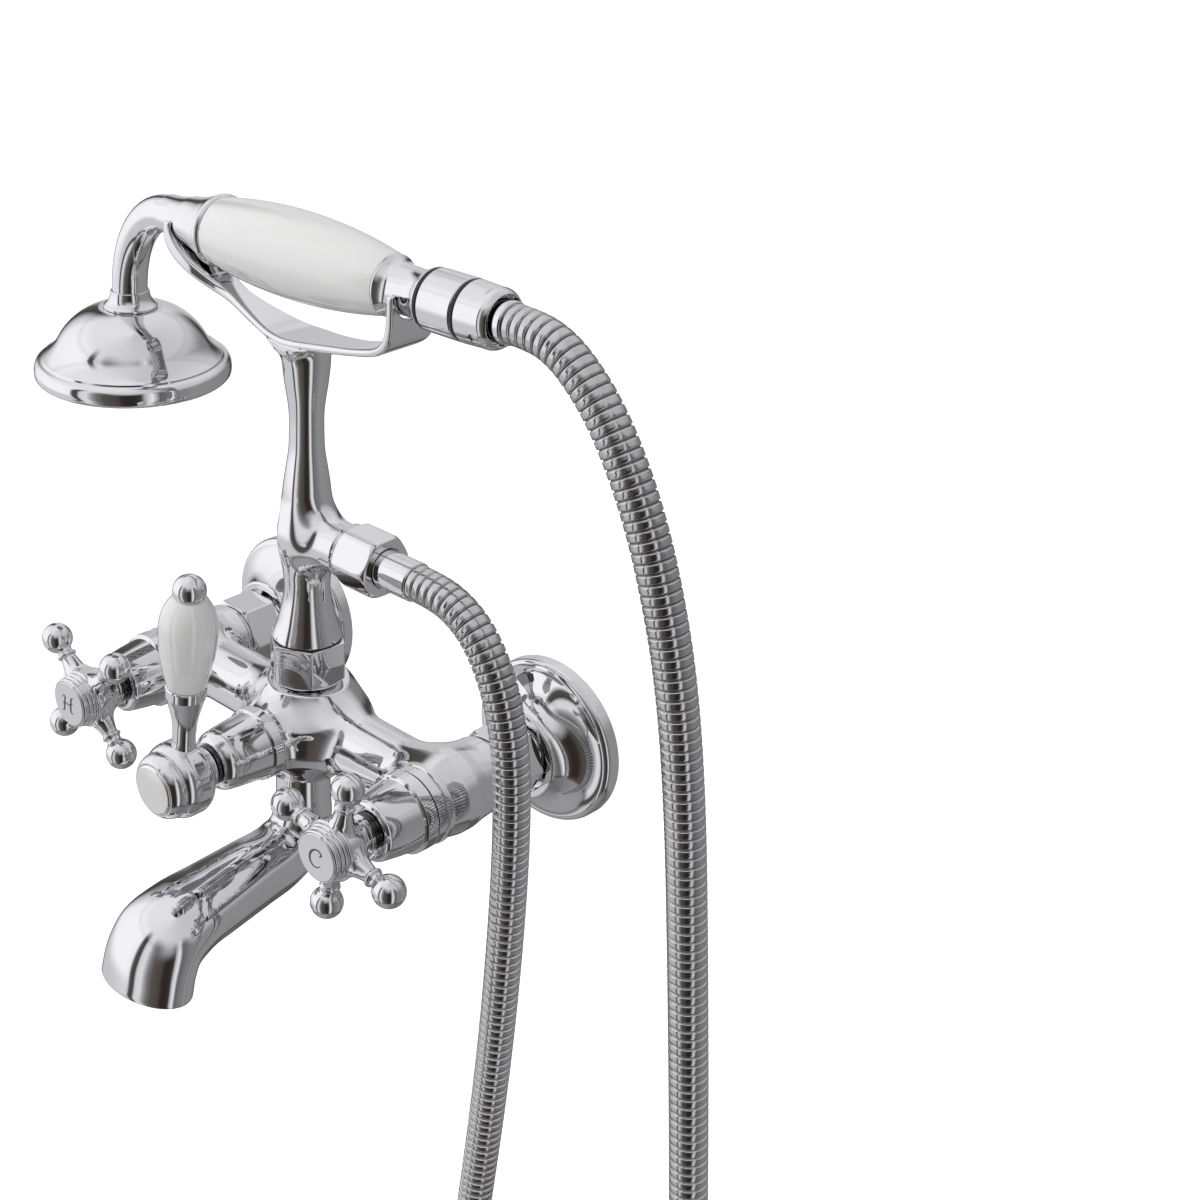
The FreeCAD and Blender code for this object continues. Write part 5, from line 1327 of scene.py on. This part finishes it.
def spray_face():
    """The spray plate with its rings of soft nozzles."""
    turned("spray_plate_disc", FACE, UP, HEAD_BASE, "hand_shower", ("spray_plate",), 0.4, 192, GREY_PLASTIC)
    points, faces = [], []
    sides = 14
    ang = np.arange(sides) * 2 * math.pi / sides
    rows = [(1.9, 117.66), (1.75, 117.2), (1.25, 116.5), (1.05, 116.4), (0.75, 116.45), (0.62, 116.8), (0.0, 117.3)]
    for ring, count in enumerate((1, 6, 12, 18, 24)):
        for k in range(count):
            t = 2 * math.pi * k / count
            cx, cy = HEAD_BASE[0] + 6.5 * ring * math.cos(t), LINE_Y + 6.5 * ring * math.sin(t)
            start = len(points)
            for r, z in rows[:-1]:
                points += [(cx + r * c, cy + r * s, z) for c, s in zip(np.cos(ang), np.sin(ang))]
            points.append((cx, cy, rows[-1][1]))
            for i in range(len(rows) - 2):
                for j in range(sides):
                    n = (j + 1) % sides
                    faces.append([start + i * sides + j, start + i * sides + n, start + (i + 1) * sides + n, start + (i + 1) * sides + j])
            tip = start + (len(rows) - 1) * sides
            for j in range(sides):
                faces.append([start + (len(rows) - 2) * sides + j, start + (len(rows) - 2) * sides + (j + 1) % sides, tip])
    mesh("spray_nozzles", points, faces, "hand_shower", ("spray_plate",), None, RUBBER)


spray_face()


# ---- marks: a script H on the hot disc, a script C on the cold one, an arrow on the swivel
def stroke_mark(name, strokes, x, lift, dome, body, node, turn=0.0):
    """Enamel strokes that lie on a domed disc.  Points are (right, up, width) in millimetres."""
    points, faces = [], []
    c, s = math.cos(math.radians(turn)), math.sin(math.radians(turn))
    for line in strokes:
        line = np.array(line, float)
        knots = np.concatenate([[0], np.cumsum(np.hypot(np.diff(line[:, 0]), np.diff(line[:, 1])))])
        t = np.linspace(0, knots[-1], max(12, int(knots[-1] / 0.18)))
        px, py, w = [spline(knots, line[:, k], t) for k in range(3)]
        tx, ty = np.gradient(px), np.gradient(py)
        long = np.maximum(np.hypot(tx, ty), 1e-9)
        nx, ny = -ty / long, tx / long
        start = len(points)
        for k in range(len(t)):
            for off, rise in ((-0.5, -0.05), (-0.42, 0.05), (0.42, 0.05), (0.5, -0.05)):
                u, v = px[k] + nx[k] * w[k] * off, py[k] + ny[k] * w[k] * off
                u, v = u * c - v * s, u * s + v * c
                points.append((x + u, -(lift - (u * u + v * v) / (2 * dome) + rise), v))
        for k in range(len(t) - 1):
            a, b = start + 4 * k, start + 4 * (k + 1)
            for j in range(4):
                n = (j + 1) % 4
                faces.append([a + j, a + n, b + n, b + j])
        faces.append([start + j for j in range(4)])
        faces.append([start + 4 * (len(t) - 1) + j for j in (3, 2, 1, 0)])
    return mesh(name, points, faces, body, (node,), None, INK)


H_MARK = [
    [(-3.6, 2.2, 0.25), (-2.6, 3.4, 0.5), (-1.7, 3.2, 0.9), (-1.9, 1.0, 1.15), (-2.3, -1.5, 1.15), (-2.9, -3.4, 0.9), (-4.0, -3.9, 0.3)],
    [(3.9, 3.7, 0.3), (2.9, 3.5, 0.8), (2.3, 1.5, 1.15), (1.9, -1.0, 1.15), (2.0, -3.0, 0.95), (3.2, -3.6, 0.3)],
    [(-3.7, -0.6, 0.25), (-2.0, 0.35, 0.5), (0.2, 0.1, 0.6), (2.2, 0.5, 0.5), (3.5, 1.3, 0.25)],
]
C_MARK = [
    [(1.9, 1.9, 0.5), (2.6, 3.0, 0.9), (1.4, 4.0, 0.7), (-0.6, 3.6, 0.7), (-2.4, 1.6, 1.1), (-2.8, -1.0, 1.25), (-1.6, -3.2, 1.0), (0.4, -3.8, 0.7),
     (2.2, -2.9, 0.5), (3.2, -1.6, 0.25)],
]
stroke_mark("hot_mark", H_MARK, HOT, 127.6, 84.89, "hot_handle", "hot_index_button", 2.2)
stroke_mark("cold_mark", C_MARK, COLD, 127.6, 84.89, "cold_handle", "cold_index_button", -11.5)


def arrow_mark():
    """A small engraved triangle on the swivel that points back along the hand shower."""
    base = np.array(HAND_BASE)
    points, faces = [], []
    out = []
    for along, off in ((199.4, 0.0), (201.5, 1.7), (201.5, -1.7)):
        out.append((along, off))
    n = 6
    grid = []
    for i in range(n + 1):
        t = i / n
        along = out[0][0] + (out[1][0] - out[0][0]) * t
        half = 1.7 * t
        row = []
        for j in range(n + 1):
            off = -half + 2 * half * j / n
            row.append((along, off))
        grid.append(row)
    where = math.radians(-28)  # towards the front and a little below the axis
    for rise in (0.02, -0.06):
        for row in grid:
            for along, off in row:
                r = 10.98 + rise
                a = where + off / r
                local = np.array([0.0, -math.cos(a), math.sin(a)])
                across = np.array([local[0], local[1], local[2]])
                points.append(base + ALONG * along + across * r)
    m = n + 1
    for i in range(n):
        for j in range(n):
            a = i * m + j
            faces.append([a, a + 1, a + m + 1, a + m])
            b = m * m + a
            faces.append([b, b + m, b + m + 1, b + 1])
    rim = [(i, 0) for i in range(n)] + [(n, j) for j in range(n)] + [(i, n) for i in range(n, 0, -1)]
    loop = [i * m + j for i, j in rim]
    for a, b in zip(loop, loop[1:] + loop[:1]):
        faces.append([a, b, b + m * m, a + m * m])
    mesh("swivel_arrow", points, faces, "hose_swivel", ("hose_swivel_nut",), None, INK)


arrow_mark()
